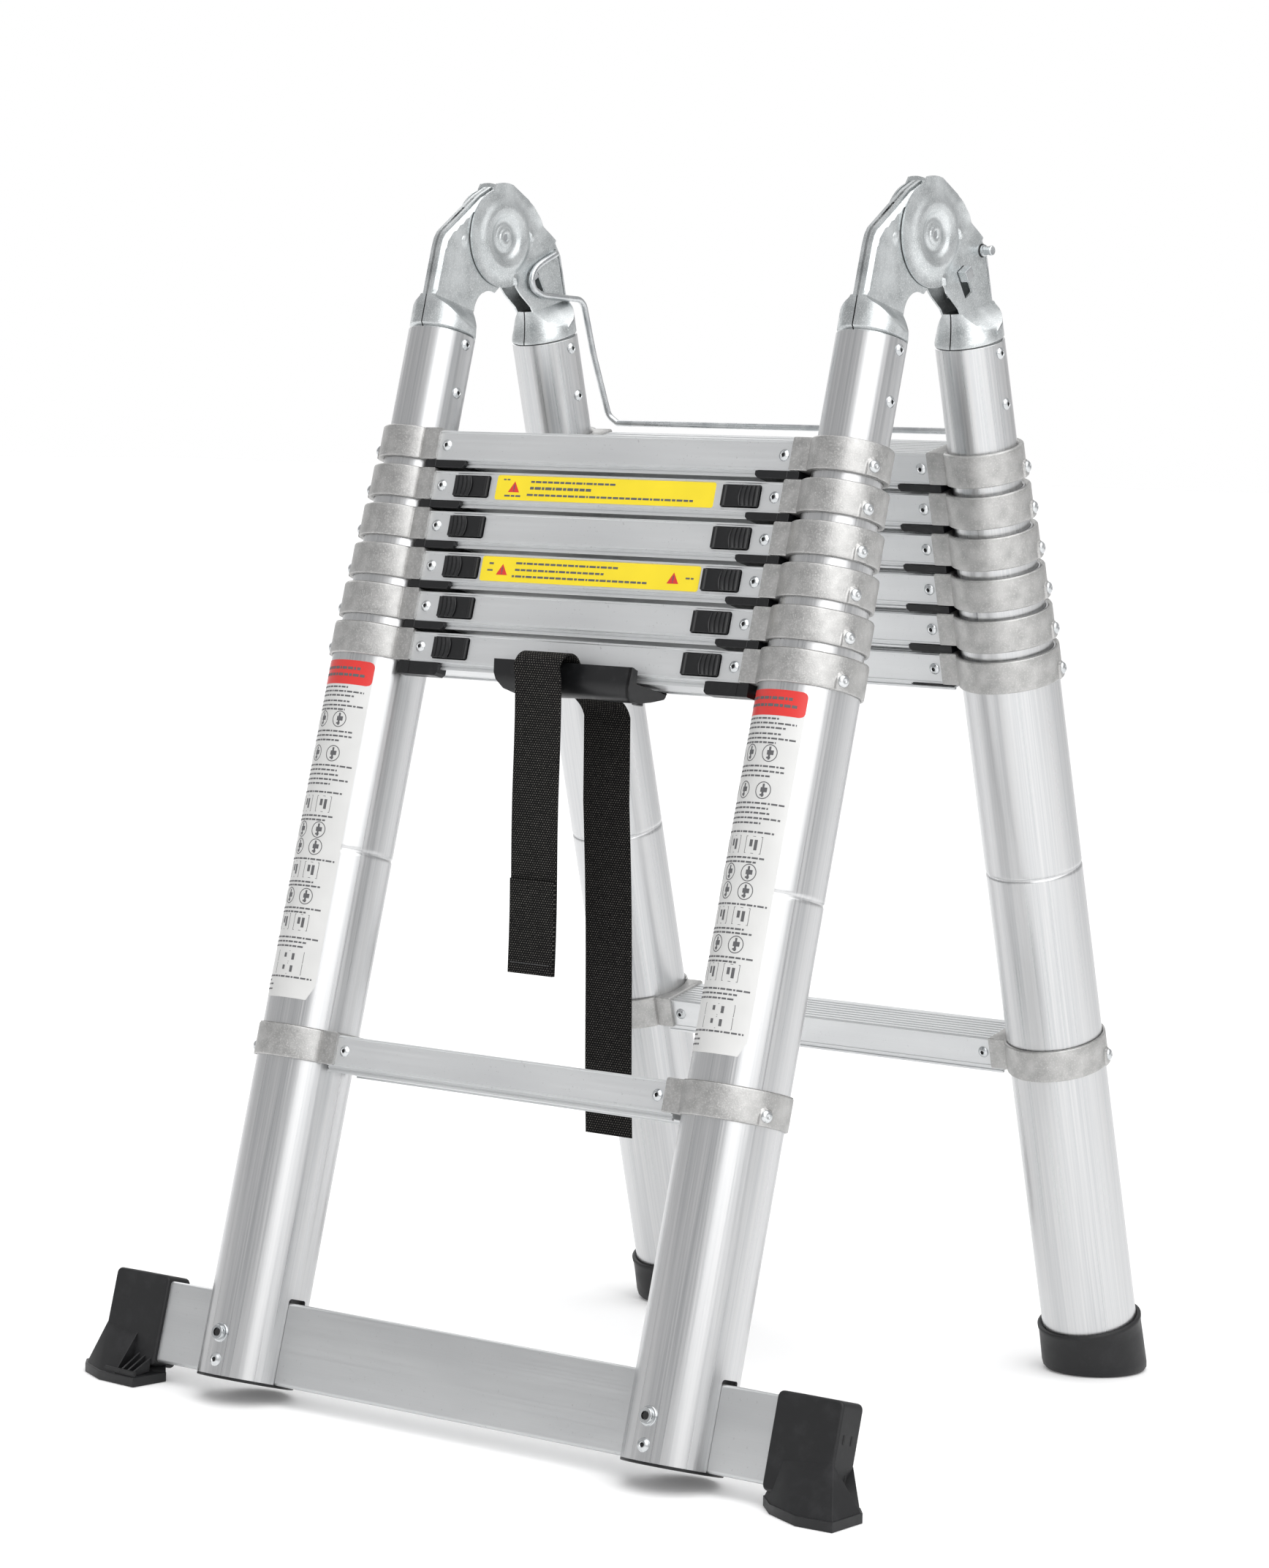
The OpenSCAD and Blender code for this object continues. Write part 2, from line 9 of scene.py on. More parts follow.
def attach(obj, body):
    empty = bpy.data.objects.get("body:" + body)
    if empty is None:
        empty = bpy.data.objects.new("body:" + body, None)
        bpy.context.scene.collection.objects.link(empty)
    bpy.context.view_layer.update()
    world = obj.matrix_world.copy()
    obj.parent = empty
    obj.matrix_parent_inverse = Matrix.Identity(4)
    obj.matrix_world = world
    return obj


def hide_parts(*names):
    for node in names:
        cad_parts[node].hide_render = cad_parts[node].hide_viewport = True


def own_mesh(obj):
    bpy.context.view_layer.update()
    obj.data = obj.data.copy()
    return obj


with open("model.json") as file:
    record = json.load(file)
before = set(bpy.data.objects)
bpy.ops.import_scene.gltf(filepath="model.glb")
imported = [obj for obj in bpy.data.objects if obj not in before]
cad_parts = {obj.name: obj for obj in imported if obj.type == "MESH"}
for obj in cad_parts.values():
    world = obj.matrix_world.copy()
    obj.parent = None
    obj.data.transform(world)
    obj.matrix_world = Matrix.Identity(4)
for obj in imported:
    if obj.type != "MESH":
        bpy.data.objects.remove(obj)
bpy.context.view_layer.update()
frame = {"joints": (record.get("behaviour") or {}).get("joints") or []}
JOINTS = {j["name"]: j for j in frame["joints"]}

# ---- Driving dimensions, in millimetres, as in the CAD part ----
MM = 0.001
STAGES = 6
HALF_SPACING = 197.0
OFFSET = 39.0
TOP_DROP = 176.0
PITCH = 30.2
OPEN_PITCH = 300.0
OUTER_TUBE_R = 35.6
TUBE_STEP = 2.1
TUBE_WALL = 1.8
TUBE_TOP = 87.0
TUBE_BELOW = 488.0
FRONT_END = 871.5
REAR_END = 868.0
COLLAR_R = (38.0, 29.7)
COLLAR_UP = 13.0
COLLAR_DOWN = 11.0
EAR_REACH = 10.0
EAR_HALF = 21.6
RUNG_HALF = 19.6
RUNG_UP = 11.0
RUNG_DOWN = 11.4
STRIP_DOWN = 15.8
PAD_LENGTH = 38.0
PAD_DOWN = 17.0
LOWEST_PAD_DOWN = 21.0
LATCH_INSET = 46.5
WINDOW = (34.0, 16.6)
BAR = (662.0, 60.0, 18.0)
BAR_OUT = -1.5
FOOT_CAP = 54.0
HINGE_HALF = {"front": 6.3, "rear": 8.6}
PLATE = 2.0
DISC_R = 41.0
RIM_R = 37.4
ARM_OUTER = 64.3
PIN = (55.8, -24.0)
BOLT = (27.5, -34.6)
BOLT_TURN = math.radians(17.8)
BOLT_SIZE = 8.4
BOLT_REACH = 15.6
WIRE_R = 2.4
BAIL_IN = HINGE_HALF["rear"] + WIRE_R + 0.8
CAP_R = OUTER_TUBE_R + 3.9
CAP_TOP = 843.0

LEAN = math.atan2(JOINTS["front_extend_2"]["axis"][1], JOINTS["front_extend_2"]["axis"][2])
PIVOT = Vector(JOINTS["ladder_fold"]["pos_m"])
PIVOT_H = PIVOT.z / MM


def rung_drop(stage):
    return TOP_DROP + (STAGES - stage) * PITCH


LOWER_DROP = rung_drop(1) + OPEN_PITCH


def tube_r(stage):
    return OUTER_TUBE_R - (stage - 1) * TUBE_STEP


def collar_r(stage):
    return COLLAR_R[0] - (stage - 1) * (COLLAR_R[0] - COLLAR_R[1]) / (STAGES - 1)


def body_at(leg, stage):
    """The CAD body of a ladder's stage, where stage 1 is the outermost."""
    return f"{leg}_base" if stage == 1 else f"{leg}_stage_{stage}"


# A ladder's own frame has its origin on the hinge axis, +Z up the leg and -Y outwards
LEG = {
    "front": Matrix.Translation(PIVOT) @ Matrix.Rotation(-LEAN, 4, "X"),
    "rear": Matrix.Translation(PIVOT) @ Matrix.Rotation(math.pi, 4, "Z") @ Matrix.Rotation(-LEAN, 4, "X"),
}
# Side of a ladder in its own frame: the rear ladder is turned round, so its left is at +X there
SIDES = {"front": {"left": -1, "right": 1}, "rear": {"left": 1, "right": -1}}


def at(leg, x=0.0, out=0.0, drop=0.0):
    return LEG[leg] @ Matrix.Translation(Vector((x, -OFFSET - out, -drop)) * MM)


def floor_z(y):
    """Height in a ladder's frame at which a line along the leg meets the floor."""
    return (-PIVOT_H + y * math.sin(LEAN)) / math.cos(LEAN)


# ---- Shapes: (points in millimetres, faces) ----

def joined(*shapes):
    points, faces = [], []
    for p, f in shapes:
        faces += [[i + len(points) for i in face] for face in f]
        points += list(p)
    return points, faces


def moved(shape, matrix):
    return [matrix @ Vector(p) for p in shape[0]], shape[1]


def shifted(shape, x=0.0, y=0.0, z=0.0):
    return moved(shape, Matrix.Translation((x, y, z)))


def mirrored(shape):
    return [Vector((-p[0], p[1], p[2])) for p in shape[0]], shape[1]


def skin(rings, closed_path=False):
    """Quads between rings that all have the same number of points."""
    n = len(rings[0])
    points = [p for ring in rings for p in ring]
    faces = []
    for i in range(len(rings) if closed_path else len(rings) - 1):
        a, b = i * n, (i + 1) % len(rings) * n
        for j in range(n):
            k = (j + 1) % n
            faces.append([a + j, a + k, b + k, b + j])
    if not closed_path:
        faces.append(list(range(n))[::-1])
        faces.append([(len(rings) - 1) * n + j for j in range(n)])
    return points, faces


def ring_of(radius, height, segments):
    turns = [2 * math.pi * i / segments for i in range(segments)]
    return [(radius * math.cos(t), radius * math.sin(t), height) for t in turns]


def turned(profile, segments=48):
    """A solid of revolution about Z: profile runs from one end to the other as (radius, height)."""
    return skin([ring_of(r, h, segments) for r, h in profile])


def tubular(profile, segments=96):
    """A hollow ring about Z: profile is a closed loop of (radius, height)."""
    rings = []
    for i in range(segments):
        t = 2 * math.pi * i / segments
        rings.append([(r * math.cos(t), r * math.sin(t), h) for r, h in profile])
    return skin(rings, closed_path=True)


def prism(outline, low, high, axis="z"):
    """An outline extruded along an axis. Along x the outline is (y, z), along y it is (x, z)."""
    place = {
        "z": lambda p, h: (p[0], p[1], h),
        "x": lambda p, h: (h, p[0], p[1]),
        "y": lambda p, h: (p[0], h, p[1]),
    }[axis]
    return skin([[place(p, h) for p in outline] for h in (low, high)])


def block(x, y, z):
    return prism([(x[0], y[0]), (x[1], y[0]), (x[1], y[1]), (x[0], y[1])], z[0], z[1])


def arc(cx, cy, r, start, end, steps):
    turns = [math.radians(start + (end - start) * i / steps) for i in range(steps + 1)]
    return [(cx + r * math.cos(t), cy + r * math.sin(t)) for t in turns]


def round_rect(w, h, r, steps=5):
    """Outline with rounded corners, anticlockwise, about the origin."""
    a, b = w / 2 - r, h / 2 - r
    return (
        arc(a, b, r, 0, 90, steps) + arc(-a, b, r, 90, 180, steps)
        + arc(-a, -b, r, 180, 270, steps) + arc(a, -b, r, 270, 360, steps)
    )


def hull(points):
    """The convex hull of some points."""
    bm = bmesh.new()
    for p in points:
        bm.verts.new(p)
    done = bmesh.ops.convex_hull(bm, input=bm.verts)
    loose = {v for v in done["geom_interior"] + done["geom_unused"] if isinstance(v, bmesh.types.BMVert)}
    bmesh.ops.delete(bm, geom=list(loose), context="VERTS")
    bmesh.ops.dissolve_limit(bm, angle_limit=0.01, verts=bm.verts, edges=bm.edges)
    bm.verts.index_update()
    shape = [v.co.copy() for v in bm.verts], [[v.index for v in f.verts] for f in bm.faces]
    bm.free()
    return shape


def sweep(path, radius, segments=14):
    """A round bar along a path, with frames carried along it without twist."""
    path = [Vector(p) for p in path]
    ahead = [(path[min(i + 1, len(path) - 1)] - path[max(i - 1, 0)]).normalized()
             for i in range(len(path))]
    side = ahead[0].orthogonal().normalized()
    rings = []
    for p, d in zip(path, ahead):
        side = (side - d * side.dot(d)).normalized()
        other = d.cross(side)
        turns = [2 * math.pi * i / segments for i in range(segments)]
        rings.append([p + radius * (math.cos(t) * side + math.sin(t) * other) for t in turns])
    return skin(rings)


def filleted(points, radius, steps=6):
    """A path whose corners are replaced by bends."""
    points = [Vector(p) for p in points]
    path = [points[0]]
    for before, corner, after in zip(points, points[1:], points[2:]):
        a, b = (before - corner).normalized(), (after - corner).normalized()
        reach = min(radius, (before - corner).length * 0.45, (after - corner).length * 0.45)
        start, end = corner + a * reach, corner + b * reach
        for i in range(steps + 1):
            t = i / steps
            path.append(start * (1 - t) ** 2 + corner * 2 * t * (1 - t) + end * t ** 2)
    return path + [points[-1]]


def smooth_step(low, high, v):
    t = min(max((v - low) / (high - low), 0.0), 1.0)
    return t * t * (3 - 2 * t)


def level(stations, v):
    """Smooth interpolation through (place, level) stations."""
    for (a, fa), (b, fb) in zip(stations, stations[1:]):
        if v <= b:
            return fa + (fb - fa) * smooth_step(a, b, v)
    return stations[-1][1]


# ---- Objects ----

def make(name, body, shape, look, place, smooth=35.0, bevel=None):
    """One piece from a shape in millimetres, standing at place and riding on a CAD body."""
    mesh = bpy.data.meshes.new(name)
    mesh.from_pydata([Vector(p) * MM for p in shape[0]], [], shape[1])
    bm = bmesh.new()
    bm.from_mesh(mesh)
    bmesh.ops.recalc_face_normals(bm, faces=bm.faces)
    bm.to_mesh(mesh)
    bm.free()
    obj = bpy.data.objects.new(name, mesh)
    bpy.context.scene.collection.objects.link(obj)
    obj.matrix_world = place
    mesh.materials.append(look)
    shade(obj, smooth)
    if bevel:
        soften(obj, bevel)
    if body:
        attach(obj, body)
    return obj


def shade(obj, angle):
    obj.data.polygons.foreach_set("use_smooth", [True] * len(obj.data.polygons))
    obj.data.set_sharp_from_angle(angle=math.radians(angle))


def soften(obj, width):
    rounding = obj.modifiers.new("edges", "BEVEL")
    rounding.width = width * MM
    rounding.segments = 2
    rounding.limit_method = "ANGLE"
    rounding.angle_limit = math.radians(35)
    rounding.harden_normals = True


def carve(obj, cutter, smooth):
    """Cuts a shape, in the piece's own frame, out of a piece."""
    tool = make(obj.name + "_cutter", None, cutter, obj.data.materials[0], obj.matrix_world)
    cut = obj.modifiers.new("cut", "BOOLEAN")
    cut.operation = "DIFFERENCE"
    cut.solver = "EXACT"
    cut.use_self = True
    cut.object = tool
    bpy.context.view_layer.update()
    cut_mesh = bpy.data.meshes.new_from_object(obj.evaluated_get(bpy.context.evaluated_depsgraph_get()))
    obj.modifiers.remove(cut)
    old = obj.data
    obj.data = cut_mesh
    bpy.data.meshes.remove(old)
    bpy.data.objects.remove(tool)
    shade(obj, smooth)


# ---- Materials ----

WEAVE = (3.3, 2.2)  # pitch along and across the tape


class Look:
    """A material built node by node around one shader, on the piece's own coordinates in metres."""

    def __init__(self, name, colour, metallic=0.0, roughness=0.5, **sockets):
        self.material = bpy.data.materials.new(name)
        self.material.use_nodes = True
        self.tree = self.material.node_tree
        self.shader = self.tree.nodes["Principled BSDF"]
        sockets.update(Base_Color=(*colour, 1), Metallic=metallic, Roughness=roughness)
        for socket, value in sockets.items():
            self.shader.inputs[socket.replace("_", " ")].default_value = value
        self.place = self.add("TexCoord").outputs["Object"]
        self.normal = None

    def add(self, kind):
        return self.tree.nodes.new("ShaderNode" + kind)

    def link(self, a, b):
        self.tree.links.new(a, b)

    def fill(self, socket, value):
        """Links a node's output to a socket, or sets a number or colour on it."""
        if isinstance(value, bpy.types.NodeSocket):
            self.link(value, socket)
        else:
            socket.default_value = (*value, 1) if isinstance(value, tuple) else value

    def texture(self, kind, scale, offset=0.0):
        """A texture with its own frequency, per metre, along each axis."""
        mapping, node = self.add("Mapping"), self.add(kind)
        mapping.inputs["Scale"].default_value = scale if isinstance(scale, tuple) else (scale,) * 3
        mapping.inputs["Location"].default_value = (offset,) * 3
        node.inputs["Scale"].default_value = 1.0
        self.link(self.place, mapping.inputs["Vector"])
        self.link(mapping.outputs["Vector"], node.inputs["Vector"])
        return node

    def noise(self, scale, detail=3.0, roughness=0.5, offset=0.0):
        node = self.texture("TexNoise", scale, offset)
        node.inputs["Detail"].default_value = detail
        node.inputs["Roughness"].default_value = roughness
        return node.outputs["Fac"]

    def cells(self, scale):
        return self.texture("TexVoronoi", scale).outputs["Distance"]

    def math(self, operation, a, b=0.0):
        node = self.add("Math")
        node.operation = operation
        self.fill(node.inputs[0], a)
        self.fill(node.inputs[1], b)
        return node.outputs["Value"]

    def spread(self, value, low, high, start=0.0, end=1.0):
        """A value remapped from low..high to start..end."""
        node = self.add("MapRange")
        for socket, number in zip(("From Min", "From Max", "To Min", "To Max"), (low, high, start, end)):
            node.inputs[socket].default_value = number
        self.link(value, node.inputs["Value"])
        return node.outputs["Result"]

    def mix(self, factor, a, b):
        node = self.add("Mix")
        node.data_type = "RGBA"
        for socket, value in ((0, factor), (6, a), (7, b)):
            self.fill(node.inputs[socket], value)
        return node.outputs[2]

    def colour(self, value):
        self.link(value, self.shader.inputs["Base Color"])

    def bump(self, height, strength, distance):
        """Adds a bump; distance is in millimetres."""
        node = self.add("Bump")
        node.inputs["Strength"].default_value = strength
        node.inputs["Distance"].default_value = distance * MM
        self.link(height, node.inputs["Height"])
        if self.normal:
            self.link(self.normal, node.inputs["Normal"])
        self.normal = node.outputs["Normal"]
        self.link(self.normal, self.shader.inputs["Normal"])


def surface(name, colour, fields, tone=None, over=None, rough=None, bumps=(), **sockets):
    """A material from noise fields, given as (frequency, detail, roughness, offset) or cells as a number.

    Each use names its field first: tone as (low, high, dark, light), over as (low, high, share, colour)
    laid on it, rough as (low, high, smoothest, roughest) and every bump as (strength, distance)."""
    look = Look(name, colour, **sockets)
    made = {field: look.noise(*setting) if isinstance(setting, tuple) else look.cells(setting)
            for field, setting in fields.items()}
    if tone:
        field, low, high, dark, light = tone
        paint = look.mix(look.spread(made[field], low, high), dark, light)
        if over:
            field, low, high, share, top = over
            paint = look.mix(look.spread(made[field], low, high, 0.0, share), paint, top)
        look.colour(paint)
    if rough:
        look.link(look.spread(made[rough[0]], *rough[1:]), look.shader.inputs["Roughness"])
    for field, strength, distance in bumps:
        look.bump(made[field], strength, distance)
    return look.material


def extrusion(name, tone):
    """Flat-sided extrusion with die lines along X, brighter or darker by tone."""
    dark, light = (tuple(tone * c for c in colour) for colour in ((0.93, 0.945, 0.955), (1.03, 1.045, 1.05)))
    return surface(
        name, (0.56, 0.575, 0.585), metallic=0.85, roughness=0.42,
        fields={"lines": ((4, 900, 900),), "dust": (500, 2.0, 0.5, 3.0),
                "cloud": ((9, 40, 40), 2.0, 0.5, 7.0)},
        tone=("cloud", 0.3, 0.7, dark, light), over=("dust", 0.68, 0.78, 0.35, (0.3, 0.3, 0.3)),
        rough=("lines", 0.3, 0.7, 0.36, 0.5), bumps=[("lines", 0.3, 0.04)])


def webbing():
    """Woven tape: ribs across it, with the warp showing as short dashes along it; its colour paints a sheen
    on the threads' crests and shade in the hollows between them.
    """
    look = Look("woven_tape", (0.008, 0.008, 0.008), roughness=0.8, Specular_IOR_Level=0.15)
    uv, split = look.add("UVMap"), look.add("SeparateXYZ")
    uv.uv_map = "tape"
    look.place = uv.outputs["UV"]
    look.link(look.place, split.inputs["Vector"])
    across, along = split.outputs["X"], split.outputs["Y"]
    weft = look.math("SINE", look.math("MULTIPLY", along, 2 * math.pi / WEAVE[0]))
    shift = look.math("MULTIPLY", look.math("GREATER_THAN", weft, 0.0), math.pi)
    warp = look.math("SINE", look.math("ADD", look.math("MULTIPLY", across, 2 * math.pi / WEAVE[1]), shift))
    thread = look.math("ADD", look.math("ABSOLUTE", weft), look.math("MULTIPLY", warp, 0.3))
    fuzz = look.noise((0.9, 0.9, 1), detail=4.0)
    # Painted sheen and shade: the threads' crests are painted lighter and the hollows between them darker
    lit = look.math("MULTIPLY", look.spread(thread, 0.8, 1.25), look.spread(fuzz, 0.3, 0.65))
    look.colour(look.mix(lit, (0.002, 0.002, 0.0022), (0.15, 0.142, 0.128)))
    look.bump(thread, 0.9, 0.4)
    return look.material


def film(name, colour, roughness=0.35):
    """Printed film: even colour with slight fading and a soft gloss."""
    return surface(name, colour, {"fade": (30, 2.0), "ripple": (300, 1.0)}, roughness=roughness,
                   tone=("fade", 0.3, 0.7, tuple(c * 0.93 for c in colour), colour),
                   bumps=[("ripple", 0.06, 0.05)])


TUBE = surface(
    "drawn_tube", (0.53, 0.54, 0.545), metallic=1.0, roughness=0.3,
    fields={"streaks": ((700, 700, 5), 4.0), "wide": ((60, 60, 2), 2.0, 0.5, 4.0)},
    tone=("wide", 0.3, 0.7, (0.5, 0.51, 0.52), (0.6, 0.605, 0.61)),
    over=("streaks", 0.35, 0.75, 1.0, (0.66, 0.66, 0.66)),
    rough=("streaks", 0.25, 0.75, 0.24, 0.42), bumps=[("streaks", 0.25, 0.05)])
RUNG = extrusion("extruded_rung", 0.74)
BAR_SKIN = extrusion("extruded_bar", 0.58)
CAST = surface(
    "cast_collar", (0.5, 0.495, 0.485), metallic=0.9, roughness=0.48,
    fields={"grain": (900, 5.0, 0.65), "patches": (90, 3.0, 0.5, 2.0), "sparkle": 700},
    tone=("patches", 0.3, 0.7, (0.37, 0.368, 0.362), (0.52, 0.517, 0.508)),
    over=("grain", 0.5, 0.8, 1.0, (0.7, 0.695, 0.68)),
    rough=("grain", 0.3, 0.7, 0.36, 0.6), bumps=[("grain", 0.55, 0.22), ("sparkle", 0.25, 0.15)])
STEEL = surface(
    "galvanised", (0.62, 0.64, 0.645), metallic=0.95, roughness=0.36,
    fields={"spangle": 260, "grain": (1200, 4.0, 0.6), "patches": (60, 4.0, 0.5, 5.0)},
    tone=("patches", 0.3, 0.7, (0.43, 0.455, 0.46), (0.66, 0.685, 0.69)),
    over=("grain", 0.48, 0.75, 1.0, (0.86, 0.88, 0.88)),
    rough=("patches", 0.3, 0.7, 0.28, 0.45), bumps=[("grain", 0.6, 0.16), ("spangle", 0.12, 0.1)])
ZINC = surface(
    "bright_zinc", (0.55, 0.57, 0.58), metallic=1.0, roughness=0.24,
    fields={"grain": (1500, 2.0), "dull": (70, 3.0, 0.5, 2.0)},
    tone=("dull", 0.3, 0.7, (0.46, 0.48, 0.495), (0.66, 0.675, 0.68)),
    rough=("dull", 0.3, 0.7, 0.18, 0.34), bumps=[("grain", 0.15, 0.03)])
HOLE = surface("hole_shadow", (0.012, 0.012, 0.013), {"grain": (600,)}, roughness=0.8,
               tone=("grain", 0.0, 1.0, (0.006, 0.006, 0.006), (0.02, 0.02, 0.021)))
PLASTIC = surface(
    "moulded_plastic", (0.008, 0.008, 0.009), roughness=0.4, Specular_IOR_Level=0.4,
    fields={"grain": (1400,), "scuffs": (160, 6.0, 0.7, 1.0)},
    tone=("scuffs", 0.55, 0.85, (0.006, 0.0062, 0.007), (0.022, 0.022, 0.024)),
    rough=("scuffs", 0.3, 0.7, 0.28, 0.46), bumps=[("grain", 0.3, 0.05)])
RUBBER = surface(
    "moulded_rubber", (0.008, 0.008, 0.009), roughness=0.5, Specular_IOR_Level=0.4,
    fields={"grain": (1000,), "dust": (55, 6.0, 0.7, 2.0)},
    tone=("dust", 0.5, 0.85, (0.007, 0.0072, 0.008), (0.024, 0.024, 0.026)),
    rough=("dust", 0.3, 0.7, 0.42, 0.6), bumps=[("grain", 0.3, 0.08)])
WEB = webbing()
THREAD = surface("black_thread", (0.02, 0.02, 0.021), {"twist": (2500,)}, roughness=0.6, Sheen_Weight=0.3,
                 bumps=[("twist", 0.5, 0.1)])
YELLOW = film("yellow_film", (0.83, 0.65, 0.02))
WHITE = film("white_film", (0.63, 0.63, 0.62))
RED = film("red_film", (0.62, 0.035, 0.03))
INK = film("grey_ink", (0.1, 0.1, 0.105), 0.6)
PALE = surface("pale_floor", (0.95, 0.95, 0.95), {"cloud": (2,)}, roughness=0.7, Emission_Strength=0.1,
               tone=("cloud", 0.0, 1.0, (0.93, 0.93, 0.93), (0.96, 0.96, 0.96)))


# ---- Fasteners ----

RIVET_HEAD = 4.3


def pop_rivet(head=RIVET_HEAD):
    """Domed head with a hollow middle, standing on z = 0."""
    return turned([
        (head * 0.96, -0.4), (head, 0.15), (head * 0.97, 0.55), (head * 0.8, 1.05), (head * 0.62, 1.75),
        (head * 0.5, 2.1), (head * 0.4, 2.15), (head * 0.33, 1.85), (head * 0.31, 0.4),
    ], 32)


def rivet_hole_shade(head=RIVET_HEAD):
    """Dark disc at the mandrel's end inside a rivet, painted as the shade of the rivet's hollow."""
    return turned([(head * 0.31, 0.3), (head * 0.31, 0.75), (head * 0.15, 0.95)], 20)


def dome_rivet(head=4.4):
    return turned([
        (head, -0.5), (head, 0.4), (head * 0.93, 1.0), (head * 0.72, 1.9), (head * 0.42, 2.4),
        (head * 0.3, 2.3), (head * 0.12, 1.9),
    ], 32)


def facing(point, direction):
    """Places a shape that stands on z = 0 at a point, with +Z along a direction."""
    turn = Vector((0, 0, 1)).rotation_difference(Vector(direction)).to_matrix().to_4x4()
    return Matrix.Translation(point) @ turn


def placed(shape, spots):
    """Copies of a shape, one at each (point, direction)."""
    return joined(*[moved(shape, facing(p, d)) for p, d in spots])


def rivets(name, body, place, spots):
    """Hollow rivets, each given by its point and direction."""
    make(name, body, placed(pop_rivet(), spots), ZINC, place, smooth=40)
    # Each rivet's hollow gets a dark disc: painted shade
    make(name + "_hole_shades", body, placed(rivet_hole_shade(), spots), HOLE, place)


# ---- Tubes ----

CRIMP_DROP = rung_drop(1) + 154.5
# The crimp ring's groove, as (height, depth)
CRIMP = [(-3.6, 0.0), (-2.2, 0.0), (-1.3, 0.25), (-0.6, 0.8), (0.6, 0.8), (1.3, 0.25), (2.2, 0.0), (3.6, 0.0)]
TUBE_LIP = 0.35
LOCK_HOLE_R = 4.4
TUBE_SMOOTH = 28


def tube_profile(stage, top, bottom):
    r, lip = tube_r(stage), TUBE_LIP
    inner = r - TUBE_WALL
    groove = [(r - depth, -CRIMP_DROP + rise) for rise, depth in CRIMP] if stage == 1 else []
    return [(r, -bottom + lip), *groove, (r, -top - lip), (r - lip, -top), (inner + lip, -top),
            (inner, -top - lip), (inner, -bottom + lip), (inner + lip, -bottom), (r - lip, -bottom)]


def bar_slot():
    """The slot across the foot of an outermost front tube that the stabiliser bar goes through."""
    low, corner = -FRONT_END - 5, 2.5
    high = -FRONT_END + BAR[1] + 3 - corner
    back, front = (t * (BAR[2] / 2 + 0.3) - BAR_OUT for t in (-1, 1))
    corners = arc(front - corner, high, corner, 0, 90, 4) + arc(back + corner, high, corner, 90, 180, 4)
    return prism([(back, low), (front, low)] + corners, -60, 60, "x")


def tube(leg, side, stage):
    s = SIDES[leg][side]
    top = TUBE_TOP if stage == STAGES else rung_drop(stage) - COLLAR_UP + 1
    end = {"front": FRONT_END, "rear": REAR_END}[leg]
    bottom = end if stage == 1 else rung_drop(stage) + TUBE_BELOW
    obj = make(f"{leg}_tube_{side}_{stage}", body_at(leg, stage), tubular(tube_profile(stage, top, bottom)),
               TUBE, at(leg, s * HALF_SPACING), smooth=TUBE_SMOOTH)
    if stage > 1:
        hole = turned([(LOCK_HOLE_R, 0), (LOCK_HOLE_R, 60)], 24)
        where = (0, 0, -rung_drop(stage) - OPEN_PITCH)
        carve(obj, moved(hole, facing(where, (-s, 0, 0))), TUBE_SMOOTH)
    elif leg == "front":
        carve(obj, bar_slot(), TUBE_SMOOTH)
    return obj


# ---- Collars ----

BOSS_TURN = math.radians(200)
BOSS_Z = -4.0
BOSS_R = 5.2
BOSS_RISE = 1.5
COLLAR_TOP_ROUND = 1.6
COLLAR_LOW_ROUND = 0.9
# Heights of the barrel's rows between its two rounded edges
COLLAR_ROWS = (-8.6, -7, -5.4, -3.8, -2.2, -0.8, 0.4, 1.2, 2.0, 3.2)


def collar_reach(turn, r, ear):
    """Distance from the tube axis to the collar's outline: a barrel with an ear towards +X."""
    c, s = math.cos(turn), abs(math.sin(turn))
    boxed = min(ear / c, EAR_HALF / s if s > 1e-6 else 1e9) if c > 0 else 0.0
    return max(r, boxed)


def boss_share(turn, z, r):
    """How far the rivet's tab stands out at a place on the collar: an arch, open at the foot."""
    along = (turn - BOSS_TURN) * r
    away = math.hypot(along, z - BOSS_Z) if z > BOSS_Z else abs(along)
    return 1 - smooth_step(BOSS_R - 0.3, BOSS_R + 0.5, away)


def rounding(reach, edge, size, steps):
    """A quarter round at an edge; its size is negative where the edge is the upper one."""
    turns = [math.pi / 2 * i / steps for i in range(steps + 1)]
    return [(reach - abs(size) * (1 - math.sin(a)), edge + size * (1 - math.cos(a))) for a in turns]


def collar_shape(stage):
    r, bore, ear = collar_r(stage), tube_r(stage) + 0.1, tube_r(stage) + EAR_REACH
    corner, crease = math.atan2(EAR_HALF, ear), math.asin(EAR_HALF / r)
    turns = {2 * math.pi * i / 88 for i in range(88)}
    special = [corner, corner - 0.02, corner + 0.02, crease, crease - 0.02, crease + 0.03]
    turns |= {t % (2 * math.pi) for v in special for t in (v, -v)}
    turns |= {BOSS_TURN + (i - 10) * 1.3 * BOSS_R / r / 10 for i in range(21)}
    high, low = COLLAR_UP, -COLLAR_DOWN
    inner = [(bore + 2.0, high), (bore + 1.2, high - 0.5), (bore, high - 1.6), (bore, low + 0.6),
             (bore + 0.6, low)]
    rings = []
    for turn in sorted(turns):
        reach = collar_reach(turn, r, ear)
        groove = 0.7 * (1 - smooth_step(0.0, 0.05, abs(min(turn, 2 * math.pi - turn) - crease)))
        outer = rounding(reach, low, COLLAR_LOW_ROUND, 3) + [(reach, z) for z in COLLAR_ROWS]
        outer += rounding(reach, high, -COLLAR_TOP_ROUND, 4)[::-1]
        outer = [(p - groove + BOSS_RISE * boss_share(turn, z, r), z) for p, z in outer]
        rings.append([(p * math.cos(turn), p * math.sin(turn), z) for p, z in outer + inner])
    return skin(rings, closed_path=True)


COLLAR_SHAPES = {stage: collar_shape(stage) for stage in range(1, STAGES + 1)}


